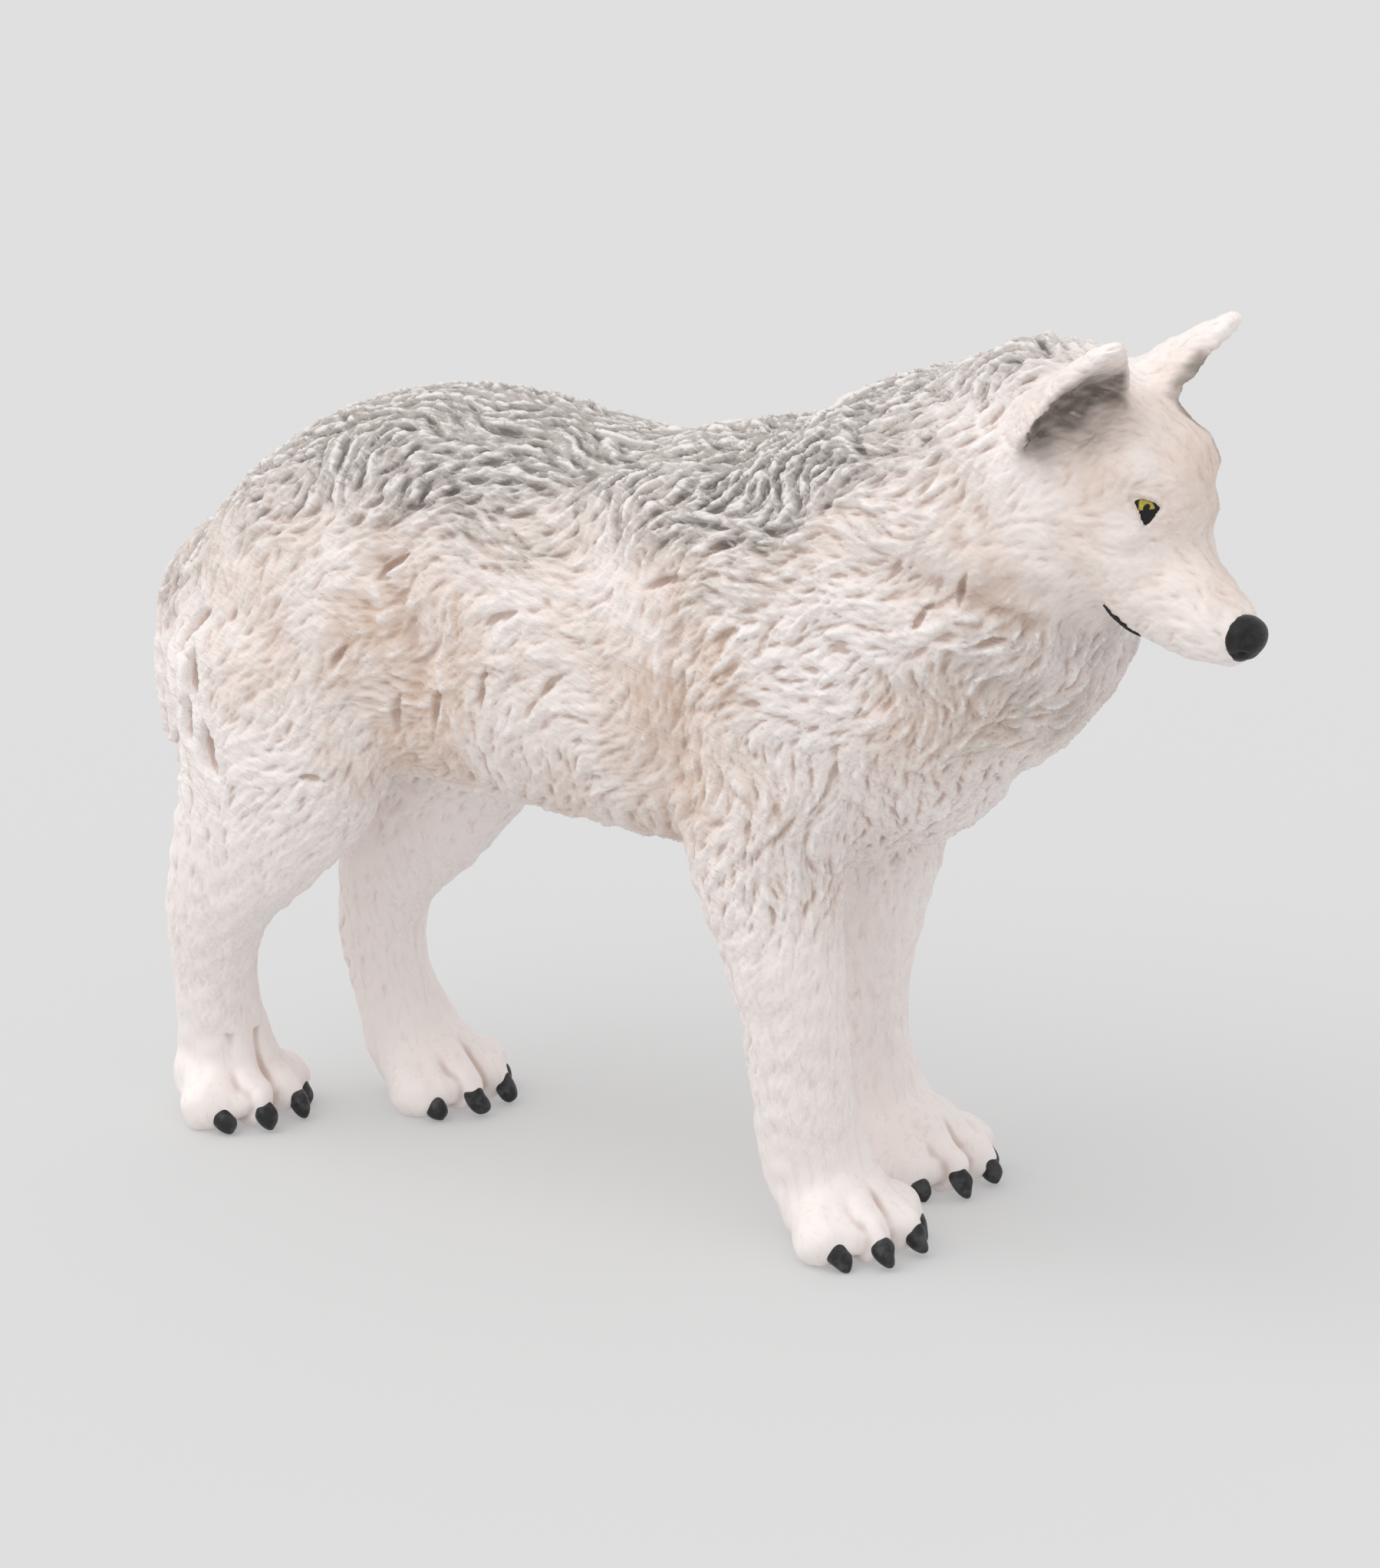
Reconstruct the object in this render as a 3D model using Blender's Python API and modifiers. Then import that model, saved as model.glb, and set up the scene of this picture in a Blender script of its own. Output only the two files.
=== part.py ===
"""A standing wolf, moulded in one piece of plastic.

The trunk, neck, head, legs and tail are lofts of rounded sections.  They are
fused into one skin, the skin gets its locks of fur as raised, overlapping
leaves, and the nose, eyes and claws are set into it.  Lengths are millimetres
up to the last step.  +X is towards the nose, +Y the wolf's left, +Z is up.
"""
import bpy
import bmesh
import numpy as np
from mathutils import Matrix

MM = 0.001
NAME = "wolf"

# Trunk, which runs back from the chest
CHEST_FRONT = 19.0
TRUNK_LENGTH = 65.8
BACK_HEIGHT = 65.2
BELLY_HEIGHT = 32.2
TRUNK_HALF_WIDTH = 14.2

# Neck and mane
NECK_ROOT = (14.0, 0.0, 52.0)
NECK_LENGTH = 26.0
NECK_RISE = 37.0
MANE_HALF_WIDTH = 13.6

# Head, turned towards the wolf's right and held low
HEAD_YAW = 17.0
HEAD_PITCH = 25.0
HEAD_SIDE_SHIFT = 2.6
SKULL_HALF_WIDTH = 7.3
MUZZLE_REACH = 16.0
MUZZLE_HALF_WIDTH = 3.1
NOSE_HALF_WIDTH = 2.0
EYE_SPACING = 9.4
EYE_RADIUS = 1.5
EYE_SOCKET = 0.9
EAR_LENGTH = 12.6
EAR_HALF_WIDTH = 4.3
EAR_WALL = 1.7

# Legs: where each ankle stands, seen from above; the hind ones go with the rump
RIGHT_FORE_FOOT = (11.2, -4.9)
LEFT_FORE_FOOT = (8.4, 11.8)
RIGHT_HIND_FOOT = (CHEST_FRONT - 1.02 * TRUNK_LENGTH, -3.8)
LEFT_HIND_FOOT = (CHEST_FRONT - 0.837 * TRUNK_LENGTH, 7.7)
FORELEG_HALF_WIDTH = 4.0
HINDLEG_HALF_WIDTH = 3.8

# Paws
PAW_LENGTH = 11.6
PAW_WIDTH = 12.0
PAW_HEIGHT = 7.0
TOE_LENGTH = 5.6
CLAW_LENGTH = 3.2
CLAW_WIDTH = 2.1

# Tail
TAIL_ROOT = (CHEST_FRONT - 0.995 * TRUNK_LENGTH, 0.0, 51.0)
TAIL_LENGTH = 28.0
TAIL_HALF_WIDTH = 4.3

# Fur
LOCK_LENGTH = 9.0
LOCK_WIDTH = 3.1
LOCK_HEIGHT = 1.1
LOCK_SPACING = 3.4

# Mesh
VOXEL = 0.62
SMOOTHING_PASSES = 9
TRIANGLES = 9600


def unit(vector):
    """A vector at length one."""
    vector = np.asarray(vector, float)
    return vector / np.linalg.norm(vector)


def head_axes():
    """Rows: forward, left and up of the turned and lowered head."""
    yaw = np.radians(-HEAD_YAW)
    pitch = np.radians(HEAD_PITCH)
    forward = np.array([np.cos(pitch) * np.cos(yaw), np.cos(pitch) * np.sin(yaw), -np.sin(pitch)])
    left = np.array([-np.sin(yaw), np.cos(yaw), 0.0])
    return np.array([forward, left, np.cross(forward, left)])


def neck_axes():
    """Rows: along the neck, left and out of its top."""
    rise = np.radians(NECK_RISE)
    along = np.array([np.cos(rise), 0.0, np.sin(rise)])
    left = np.array([0.0, 1.0, 0.0])
    return np.array([along, left, np.cross(along, left)])


def head_centre():
    """The middle of the skull, just past the neck's end."""
    ahead_of_neck = 3.0
    shift = np.array([0.0, -HEAD_SIDE_SHIFT, 0.0])
    return np.array(NECK_ROOT) + neck_axes()[0] * (NECK_LENGTH + ahead_of_neck) + shift


def through(stations, steps=6):
    """A smooth curve through the stations: Catmull-Rom, column by column."""
    points = np.asarray(stations, float)
    padded = np.vstack([2 * points[0] - points[1], points, 2 * points[-1] - points[-2]])
    t = np.linspace(0, 1, steps, endpoint=False)[:, None]
    rows = []
    for a, b, c, d in zip(padded, padded[1:], padded[2:], padded[3:]):
        rows.append(0.5 * (2 * b + (c - a) * t + (2 * a - 5 * b + 4 * c - d) * t ** 2
                           + (3 * b - a - 3 * c + d) * t ** 3))
    return np.vstack(rows + [points[-1:]])


def tube_faces(count, around):
    """Quads between neighbouring rings, and one face over each end."""
    ring = np.arange(around)
    after = np.roll(ring, -1)
    faces = []
    for row in range(count - 1):
        low = row * around
        faces += np.stack([low + ring, low + after, low + around + after, low + around + ring], 1).tolist()
    faces.append(ring[::-1].tolist())
    faces.append((ring + (count - 1) * around).tolist())
    return faces


def loft(stations, side=(0.0, 1.0, 0.0), around=28, squareness=2.2):
    """A rounded tube along stations of (x, y, z, half width, half height).

    Each section is a superellipse across the path, its width along `side`,
    and each end closes over a half ellipsoid.
    """
    table = through(stations)
    tilt = np.linspace(np.radians(80), 0, 5)[:-1, None]
    first, last = table[0], table[-1]
    start = unit(table[1, :3] - table[0, :3])
    end = unit(table[-1, :3] - table[-2, :3])
    domes = []
    for station, outward in ((first, -start), (last, end)):
        reach = 0.8 * station[3:].min()
        centre = station[:3] + outward * reach * np.sin(tilt)
        domes.append(np.hstack([centre, station[3:] * np.cos(tilt)]))
    table = np.vstack([domes[0], table, domes[1][::-1]])
    along = np.gradient(table[:, :3], axis=0)
    along /= np.linalg.norm(along, axis=1)[:, None]
    wide = np.asarray(side, float) - along * (along @ np.asarray(side, float))[:, None]
    wide /= np.linalg.norm(wide, axis=1)[:, None]
    tall = np.cross(along, wide)
    angle = np.linspace(0, 2 * np.pi, around, endpoint=False)
    across = np.sign(np.cos(angle)) * np.abs(np.cos(angle)) ** (2 / squareness)
    upward = np.sign(np.sin(angle)) * np.abs(np.sin(angle)) ** (2 / squareness)
    points = (table[:, None, :3] + wide[:, None] * (table[:, 3, None] * across)[..., None]
              + tall[:, None] * (table[:, 4, None] * upward)[..., None])
    return points.reshape(-1, 3), tube_faces(len(table), around)


def placed(shape, centre, axes):
    """A shape given in the rows of `axes` about `centre`, put in the figure's frame."""
    points, faces = shape
    return np.asarray(centre) + points @ np.asarray(axes), faces


def ball(centre, radii, axes=None, segments=16, rings=10):
    """An ellipsoid from a UV sphere."""
    mesh = bmesh.new()
    bmesh.ops.create_uvsphere(mesh, u_segments=segments, v_segments=rings, radius=1.0)
    points = np.array([vertex.co[:] for vertex in mesh.verts]) * radii
    faces = [[vertex.index for vertex in face.verts] for face in mesh.faces]
    mesh.free()
    axes = np.eye(3) if axes is None else np.asarray(axes)
    return np.asarray(centre) + points @ axes, faces


def trunk():
    """Stations: share of the length, then top, bottom and half width against the trunk's own sizes."""
    stations = []
    for share, top, bottom, wider in (
            (1.0, -14.4, 8.5, -5.4), (0.951, -8.9, 5.0, -3.2), (0.866, -3.9, 2.8, -1.4),
            (0.745, 0.6, 1.6, -0.7), (0.623, 2.0, 0.9, -0.7), (0.486, 0.6, 0.4, -0.2),
            (0.365, 0.1, -0.1, 0.3), (0.258, 1.9, -0.5, 0.6), (0.167, 3.1, -0.5, 0.3),
            (0.076, 3.4, 0.2, -0.7), (0.0, 1.0, 2.4, -3.0)):
        x = CHEST_FRONT - share * TRUNK_LENGTH
        top += BACK_HEIGHT
        bottom += BELLY_HEIGHT
        stations.append((x, 0, (top + bottom) / 2, TRUNK_HALF_WIDTH + wider, (top - bottom) / 2))
    return loft(stations, around=40, squareness=2.3)


def neck():
    """The mane around the neck: shares of its length and side shift, lift, and radii."""
    stations = []
    for share, shift, lift, wider, tall in (
            (0.0, 0.0, 0.0, 0.2, 16.2), (0.25, 0.0, 0.2, 0.2, 16.5), (0.46, 0.1, 0.6, -0.4, 15.8),
            (0.64, 0.4, 0.8, -1.8, 14.2), (0.78, 0.7, 0.6, -3.8, 12.0), (0.88, 0.9, 0.3, -5.6, 9.8)):
        stations.append((share * NECK_LENGTH, -HEAD_SIDE_SHIFT * shift, lift, MANE_HALF_WIDTH + wider, tall))
    return placed(loft(stations, around=36), NECK_ROOT, neck_axes())


def head():
    """Skull and muzzle in one loft: share of the muzzle's reach, top, bottom, half width."""
    skull_fall = SKULL_HALF_WIDTH - MUZZLE_HALF_WIDTH
    stations = []
    for share, top, bottom, narrower in (
            (-0.62, 4.4, -8.0, 0.05), (-0.36, 6.0, -9.6, 0.0), (-0.08, 6.3, -10.2, 0.03),
            (0.14, 5.0, -10.7, 0.14), (0.3, 2.5, -10.8, 0.3), (0.46, -0.1, -10.6, 0.5),
            (0.66, -1.7, -10.1, 0.73), (0.86, -2.8, -9.2, 0.9), (0.97, -3.5, -8.4, 1.05)):
        width = SKULL_HALF_WIDTH - narrower * skull_fall
        stations.append((share * MUZZLE_REACH, 0, (top + bottom) / 2, width, (top - bottom) / 2))
    return placed(loft(stations, around=32), head_centre(), head_axes())


def brow(side):
    """The ridge over one eye, which runs on into the forehead."""
    stations = [(-1.0, side * 3.6, 2.6, 3.0, 2.6), (2.6, side * 3.2, 1.9, 2.6, 2.2),
                (5.0, side * 2.6, 0.4, 1.7, 1.5)]
    return placed(loft(stations, around=16, squareness=2), head_centre(), head_axes())


def cheek(side):
    """The ruff of fur that hangs from one cheek."""
    stations = [(0.5, side * 4.8, -4.6, 2.8, 4.4), (-3.5, side * 6.8, -5.2, 3.2, 5.4),
                (-7.5, side * 8.4, -6.2, 3.2, 5.8), (-11.0, side * 9.4, -7.4, 2.4, 4.6)]
    return placed(loft(stations, around=16, squareness=2), head_centre(), head_axes())


def nape():
    """The fur behind the ears, which fills the head into the mane."""
    centre = head_centre() + np.array([-8.5, 0.6, -5.6]) @ head_axes()
    return ball(centre, (9.0, SKULL_HALF_WIDTH + 2.6, 9.0), head_axes())


def ear(side):
    """A cupped ear: crescent sections that narrow to the tip and lean outwards."""
    opening = unit((0.62, 0.78 * side, 0.0))
    upward = unit((0.22, 0.17 * side, 1.0))
    across = unit(np.cross(upward, opening))
    opening = np.cross(across, upward)
    root = np.array([-2.4, 5.0 * side, 1.0])
    angle = np.linspace(0, np.pi, 9)
    rows = []
    for share, width, depth in ((-0.12, 0.8, 0.95), (0.1, 1.0, 1.0), (0.3, 0.98, 0.9), (0.5, 0.82, 0.72),
                                (0.7, 0.58, 0.5), (0.88, 0.32, 0.32), (1.0, 0.12, 0.14)):
        half = EAR_HALF_WIDTH * width
        back = EAR_HALF_WIDTH * 0.95 * depth
        front = max(back - EAR_WALL, -0.1)
        centre = root + upward * share * EAR_LENGTH
        outer = np.outer(half * np.cos(angle), across) - np.outer(back * np.sin(angle), opening)
        inner = np.outer(0.86 * half * np.cos(angle), across) - np.outer(front * np.sin(angle) - 0.35, opening)
        rows.append(centre + np.vstack([outer, inner[::-1]]))
    points = np.vstack(rows)
    faces = tube_faces(len(rows), 2 * len(angle))
    if side < 0:
        faces = [face[::-1] for face in faces]
    return placed((points, faces), head_centre(), head_axes())


def leg(foot, height, half_width, stations):
    """Stations up from the ankle: share of the height, x and y shift, width and depth ratios."""
    rows = [(foot[0] + dx, foot[1] + dy, share * height, half_width * wide, half_width * deep)
            for share, dx, dy, wide, deep in stations]
    return loft(rows, around=24)


def legs():
    """The four legs, each from its ankle up into the trunk."""
    right_fore = ((0.18, 0.3, 0.0, 1.08, 1.16), (0.36, 0.0, -1.8, 0.98, 1.1), (0.58, 0.0, -3.2, 1.0, 1.12),
                  (0.8, -0.5, -4.5, 1.1, 1.26), (1.0, -1.8, -4.8, 1.24, 1.55), (1.25, -2.8, -4.3, 1.36, 1.95))
    left_fore = ((0.18, 0.2, 0.0, 1.06, 1.14), (0.36, -1.0, -1.1, 0.96, 1.08), (0.58, -0.6, -1.8, 0.98, 1.1),
                 (0.8, 0.6, -2.1, 1.08, 1.26), (1.0, 1.2, -2.3, 1.22, 1.5), (1.25, 0.6, -3.1, 1.36, 1.95))
    right_hind = ((0.17, 0.4, 0.0, 1.06, 1.16), (0.32, 0.6, -1.5, 0.92, 1.0), (0.5, 1.2, -3.0, 0.94, 1.06),
                  (0.68, 3.0, -4.2, 1.1, 1.38), (0.88, 6.8, -4.7, 1.34, 1.95), (1.1, 9.8, -4.5, 1.62, 2.6),
                  (1.36, 9.6, -3.5, 1.75, 2.9))
    left_hind = ((0.17, 0.4, 0.0, 1.06, 1.16), (0.32, -1.2, -0.6, 0.9, 0.98), (0.5, -2.1, -0.8, 0.94, 1.04),
                 (0.68, -0.5, -0.9, 1.1, 1.36), (0.88, 3.3, -0.5, 1.34, 1.85), (1.1, 5.3, -0.5, 1.62, 2.4),
                 (1.36, 1.3, -1.1, 1.75, 2.9))
    return [leg(RIGHT_FORE_FOOT, BELLY_HEIGHT, FORELEG_HALF_WIDTH, right_fore),
            leg(LEFT_FORE_FOOT, BELLY_HEIGHT, FORELEG_HALF_WIDTH, left_fore),
            leg(RIGHT_HIND_FOOT, BELLY_HEIGHT, HINDLEG_HALF_WIDTH, right_hind),
            leg(LEFT_HIND_FOOT, BELLY_HEIGHT, HINDLEG_HALF_WIDTH, left_hind)]


def paws():
    """For each paw: its centre on the ground, ahead of its ankle, and its axes, toes along the first row."""
    result = []
    for foot, heading, ahead in ((RIGHT_FORE_FOOT, -14, 3.5), (LEFT_FORE_FOOT, -10, 4.6),
                                 (RIGHT_HIND_FOOT, -12, 1.1), (LEFT_HIND_FOOT, -6, 2.9)):
        turn = np.radians(heading)
        forward = np.array([np.cos(turn), np.sin(turn), 0.0])
        left = np.array([-np.sin(turn), np.cos(turn), 0.0])
        axes = np.array([forward, left, [0.0, 0.0, 1.0]])
        result.append((np.array([foot[0], foot[1], 0.0]) + forward * ahead, axes))
    return result


def toe_tips():
    """Each toe's place in its paw's axes: ahead, left, height."""
    middle, outer = PAW_LENGTH / 2 - TOE_LENGTH / 2 + 0.9, PAW_LENGTH / 2 - TOE_LENGTH / 2 - 1.5
    inside, outside = PAW_WIDTH * 0.17, PAW_WIDTH * 0.4
    return ((outer, -outside, 2.1), (middle, -inside, 2.4), (middle, inside, 2.4), (outer, outside, 2.1))


def paw_shapes():
    """Each paw's body and its four toes."""
    shapes = []
    for centre, axes in paws():
        body_radii = (PAW_LENGTH * 0.44, PAW_WIDTH * 0.42, PAW_HEIGHT * 0.56)
        shapes.append(ball(centre + axes[2] * PAW_HEIGHT * 0.47 - axes[0] * 0.6, body_radii, axes))
        for toe in toe_tips():
            radii = (TOE_LENGTH / 2, PAW_WIDTH * 0.19, PAW_HEIGHT * 0.36)
            shapes.append(ball(centre + np.array(toe) @ axes, radii, axes))
    return shapes


def tail():
    """The tail hangs close behind the rump: shares of its length back, down, and radii."""
    x, y, z = TAIL_ROOT
    rows = []
    for back, down, wide, deep in ((-0.12, -0.04, 0.9, 0.8), (0.05, 0.05, 1.0, 0.92), (0.14, 0.2, 1.1, 1.05),
                                   (0.17, 0.42, 1.1, 1.05), (0.15, 0.62, 0.95, 0.9), (0.11, 0.82, 0.66, 0.64),
                                   (0.08, 0.96, 0.34, 0.34)):
        rows.append((x - back * TAIL_LENGTH, y, z - down * TAIL_LENGTH,
                     TAIL_HALF_WIDTH * wide, TAIL_HALF_WIDTH * deep))
    return loft(rows, around=20, squareness=2)


def nose():
    """The nose pad, proud of the muzzle's end."""
    centre = head_centre() + np.array([MUZZLE_REACH + 0.6, 0, -5.3]) @ head_axes()
    return ball(centre, (NOSE_HALF_WIDTH * 0.85, NOSE_HALF_WIDTH, NOSE_HALF_WIDTH), head_axes(), 12, 8)


def eye_frame(points, normals, side):
    """The eye's middle on the skin and the way out of it."""
    place = head_centre() + np.array([MUZZLE_REACH * 0.35, side * EYE_SPACING / 2, -0.4]) @ head_axes()
    close = np.argsort(((points - place) ** 2).sum(1))[:40]
    return points[close].mean(0), unit(normals[close].mean(0))


def eye_sockets(points, normals):
    """The skin sunk about each eye, and the eyes' own places in the hollows."""
    places = []
    for side in (-1, 1):
        middle, outward = eye_frame(points, normals, side)
        hollow = EYE_SOCKET * np.exp(-((points - middle) ** 2).sum(1) / (1.5 * EYE_RADIUS) ** 2)
        points = points - outward * hollow[:, None]
        places.append((middle - outward * EYE_SOCKET, outward))
    return points, places


def eyes(places):
    """The two eyeballs, a third of each showing in its socket."""
    return [ball(middle - outward * EYE_RADIUS * 0.62, (EYE_RADIUS,) * 3, head_axes(), 12, 8)
            for middle, outward in places]


def claws():
    """A tapered claw at the end of each toe, pointing forward and down."""
    shapes = []
    dip = np.radians(24)
    for centre, axes in paws():
        forward = axes[0] * np.cos(dip) - axes[2] * np.sin(dip)
        claw_axes = np.array([forward, axes[1], np.cross(forward, axes[1])])
        for toe in toe_tips():
            tip = np.array(toe) + (TOE_LENGTH / 2 - 0.5, 0, -0.7)
            radii = (CLAW_LENGTH / 2, CLAW_WIDTH / 2, CLAW_WIDTH * 0.58)
            shapes.append(ball(centre + tip @ axes, radii, claw_axes, 8, 5))
    return shapes


def joined(shapes, name):
    """One mesh of several closed shapes."""
    points, faces, count = [], [], 0
    for shape_points, shape_faces in shapes:
        points.append(shape_points)
        faces += [[index + count for index in face] for face in shape_faces]
        count += len(shape_points)
    mesh = bpy.data.meshes.new(name)
    mesh.from_pydata(np.vstack(points).tolist(), [], faces)
    return mesh


def points_of(mesh):
    """A mesh's vertices as an array."""
    points = np.empty(len(mesh.vertices) * 3)
    mesh.vertices.foreach_get("co", points)
    return points.reshape(-1, 3)


def normals_of(mesh):
    """A mesh's vertex normals as an array."""
    normals = np.empty(len(mesh.vertices) * 3)
    mesh.vertex_normals.foreach_get("vector", normals)
    return normals.reshape(-1, 3)


def fused(shapes):
    """The shapes under one skin, by a voxel remesh."""
    mesh = joined(shapes, "forms")
    guide = bpy.data.objects.new("forms", mesh)
    bpy.context.scene.collection.objects.link(guide)
    remesh = guide.modifiers.new("skin", "REMESH")
    remesh.mode = "VOXEL"
    remesh.voxel_size = VOXEL
    evaluated = guide.evaluated_get(bpy.context.evaluated_depsgraph_get())
    skin = bpy.data.meshes.new_from_object(evaluated)
    bpy.data.objects.remove(guide)
    return skin


def smooth(mesh, passes, amount):
    """Move each vertex towards its neighbours' middle, by its own amount."""
    edges = np.empty(len(mesh.edges) * 2, np.int64)
    mesh.edges.foreach_get("vertices", edges)
    start, end = edges.reshape(-1, 2).T
    points = points_of(mesh)
    count = len(points)
    valence = np.bincount(start, minlength=count) + np.bincount(end, minlength=count)
    for _ in range(passes):
        total = np.stack([np.bincount(start, points[end, axis], count)
                          + np.bincount(end, points[start, axis], count) for axis in range(3)], 1)
        points = points + amount[:, None] * (total / valence[:, None] - points)
    mesh.vertices.foreach_set("co", points.ravel())
    mesh.update()


def near(points, centre, radius):
    """One at the centre, fading to nothing at the radius."""
    distance = np.linalg.norm(points - centre, axis=1) / radius
    return np.clip(1 - distance ** 2, 0, 1)


def smoothstep(low, high, value):
    """Zero below `low`, one above `high`, eased between."""
    t = np.clip((value - low) / (high - low), 0, 1)
    return t * t * (3 - 2 * t)


def crispness(points):
    """Where small forms stay sharp: face, ears and paws."""
    muzzle = head_centre() + np.array([MUZZLE_REACH / 2, 0, -4.0]) @ head_axes()
    crown = head_centre() + np.array([-1.0, 0, EAR_LENGTH * 0.7]) @ head_axes()
    places = [(muzzle, MUZZLE_REACH * 0.94), (crown, EAR_LENGTH * 1.1)]
    places += [(centre, PAW_LENGTH * 0.92) for centre, _ in paws()]
    return np.max([near(points, centre, radius) for centre, radius in places], 0)


# How the coat lies on the wolf's left side: a place, then the way the hair points there.
COMB = (
    ((-44, 6, 58), (-1.0, 0.1, -0.8)), ((-30, 5, 66), (-1.0, 0.2, -0.2)), ((-12, 5, 65), (-1.0, 0.25, -0.05)),
    ((6, 5, 68), (-1.0, 0.3, -0.1)), ((20, 5, 75), (-1.0, 0.3, -0.5)), ((32, 5, 78), (-1.0, 0.4, -0.6)),
    ((-24, 13, 54), (-1.0, 0, -0.5)), ((-8, 14, 50), (-1.0, 0, -0.45)), ((-10, 12, 37), (-0.45, 0, -1.0)),
    ((-36, 13, 46), (-0.5, 0, -1.0)), ((-47, 8, 42), (-0.5, 0, -1.0)), ((-36, 10, 32), (-0.7, 0, -1.0)),
    ((-22, 13, 40), (-0.2, 0, -1.0)), ((6, 14, 52), (-0.7, 0, -0.8)), ((6, 12, 38), (-0.3, 0, -1.0)),
    ((14, 14, 60), (-1.0, 0.1, -0.7)), ((20, 13, 60), (-0.8, 0.1, -0.8)), ((24, 8, 44), (-0.3, 0, -1.0)),
    ((34, 6, 54), (-0.2, 0.3, -1.0)), ((30, 10, 66), (-0.9, 0.4, -0.7)), ((32, 9, 58), (-0.6, 0.2, -1.0)),
    ((10, 10, 15), (0, 0, -1.0)), ((-42, 6, 15), (0, 0, -1.0)), ((-54, 0, 36), (0.1, 0, -1.0)))


def waves(points, length, seed, count=12):
    """Smooth noise about zero: a sum of sines that run in random directions."""
    chance = np.random.default_rng(seed)
    total = np.zeros(len(points))
    for _ in range(count):
        run = unit(chance.normal(size=3)) * 2 * np.pi / (length * chance.uniform(0.7, 1.5))
        total += np.sin(points @ run + chance.uniform(0, 2 * np.pi))
    return total / np.sqrt(count / 2)


def hair_direction(points, normals):
    """The comb's directions weighted by nearness, laid into the surface and turned by waves."""
    reach = 7.0
    places = np.array([place for place, _ in COMB], float)
    ways = np.array([unit(way) for _, way in COMB])
    mirrored = points * (1, 0, 1) + np.abs(points) * (0, 1, 0)
    distance = (mirrored ** 2).sum(1)[:, None] + (places ** 2).sum(1) - 2 * mirrored @ places.T
    weight = np.exp(-(distance - distance.min(1)[:, None]) / (2 * reach ** 2))
    way = weight @ ways
    way[:, 1] *= np.tanh(points[:, 1] / 2)
    way -= normals * (way * normals).sum(1)[:, None]
    way /= np.linalg.norm(way, axis=1)[:, None] + 1e-6
    turn = 0.42 * waves(points, 13.0, 5) + 0.24 * waves(points, 6.0, 6)
    turn *= smoothstep(20, 40, points[:, 2])
    return way * np.cos(turn)[:, None] + np.cross(normals, way) * np.sin(turn)[:, None]


def fur_strength(points):
    """How proud the locks stand, as a share: most on mane, back and belly, none on face and feet."""
    x, y, z = points.T
    ahead, _, up = ((points - head_centre()) @ head_axes().T).T
    face = smoothstep(-6.5, -1.5, ahead) * smoothstep(-12.8, -10.8, up)
    ears = np.max([near(points, head_centre() + np.array([-1.2, side * 6.0, 7.5]) @ head_axes(), 8.5)
                   for side in (-1, 1)], 0)
    bare = np.maximum(face, smoothstep(0.1, 0.5, ears))
    legs_part = 1 - smoothstep(22, BELLY_HEIGHT + 0.8, z)
    mane = smoothstep(-1.0, 7.0, x + 0.15 * (z - 60))
    back = smoothstep(54, 62, z)
    fringe = smoothstep(46, 38, z) * smoothstep(-30, -24, x) * (1 - smoothstep(0, 6, x))
    behind = smoothstep(-47.5, -50.0, x) * (1 - smoothstep(4, 6, np.abs(y)))
    thigh = smoothstep(-24, -32, x) * (1 - smoothstep(50, 58, z)) * (1 - behind)
    share = 0.6 + 0.25 * mane + 0.1 * back + 0.2 * fringe + 0.2 * behind
    return share * (1 - 0.5 * thigh) * (1 - bare) * (1 - legs_part)


def chance_in(cells, salt):
    """A steady random number from 0 to 1 for each cell: the fraction of 43758.5453 sin(n + salt)."""
    return np.abs(np.sin(cells @ (12.9898, 78.233, 37.719) + salt) * 43758.5453) % 1


def scattered(points, allowed, spacing):
    """The allowed vertex nearest to a chance point in each cell of a cubic grid, with its cell."""
    index = np.flatnonzero(allowed)
    cells = np.floor(points[index] / spacing)
    target = (cells + 0.2 + 0.6 * np.stack([chance_in(cells, salt) for salt in (1, 2, 3)], 1)) * spacing
    away = ((points[index] - target) ** 2).sum(1)
    order = np.lexsort((away, cells[:, 2], cells[:, 1], cells[:, 0]))
    first = np.append(True, (np.diff(cells[order], axis=0) != 0).any(1))
    chosen = order[first]
    return index[chosen], cells[chosen]


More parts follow.
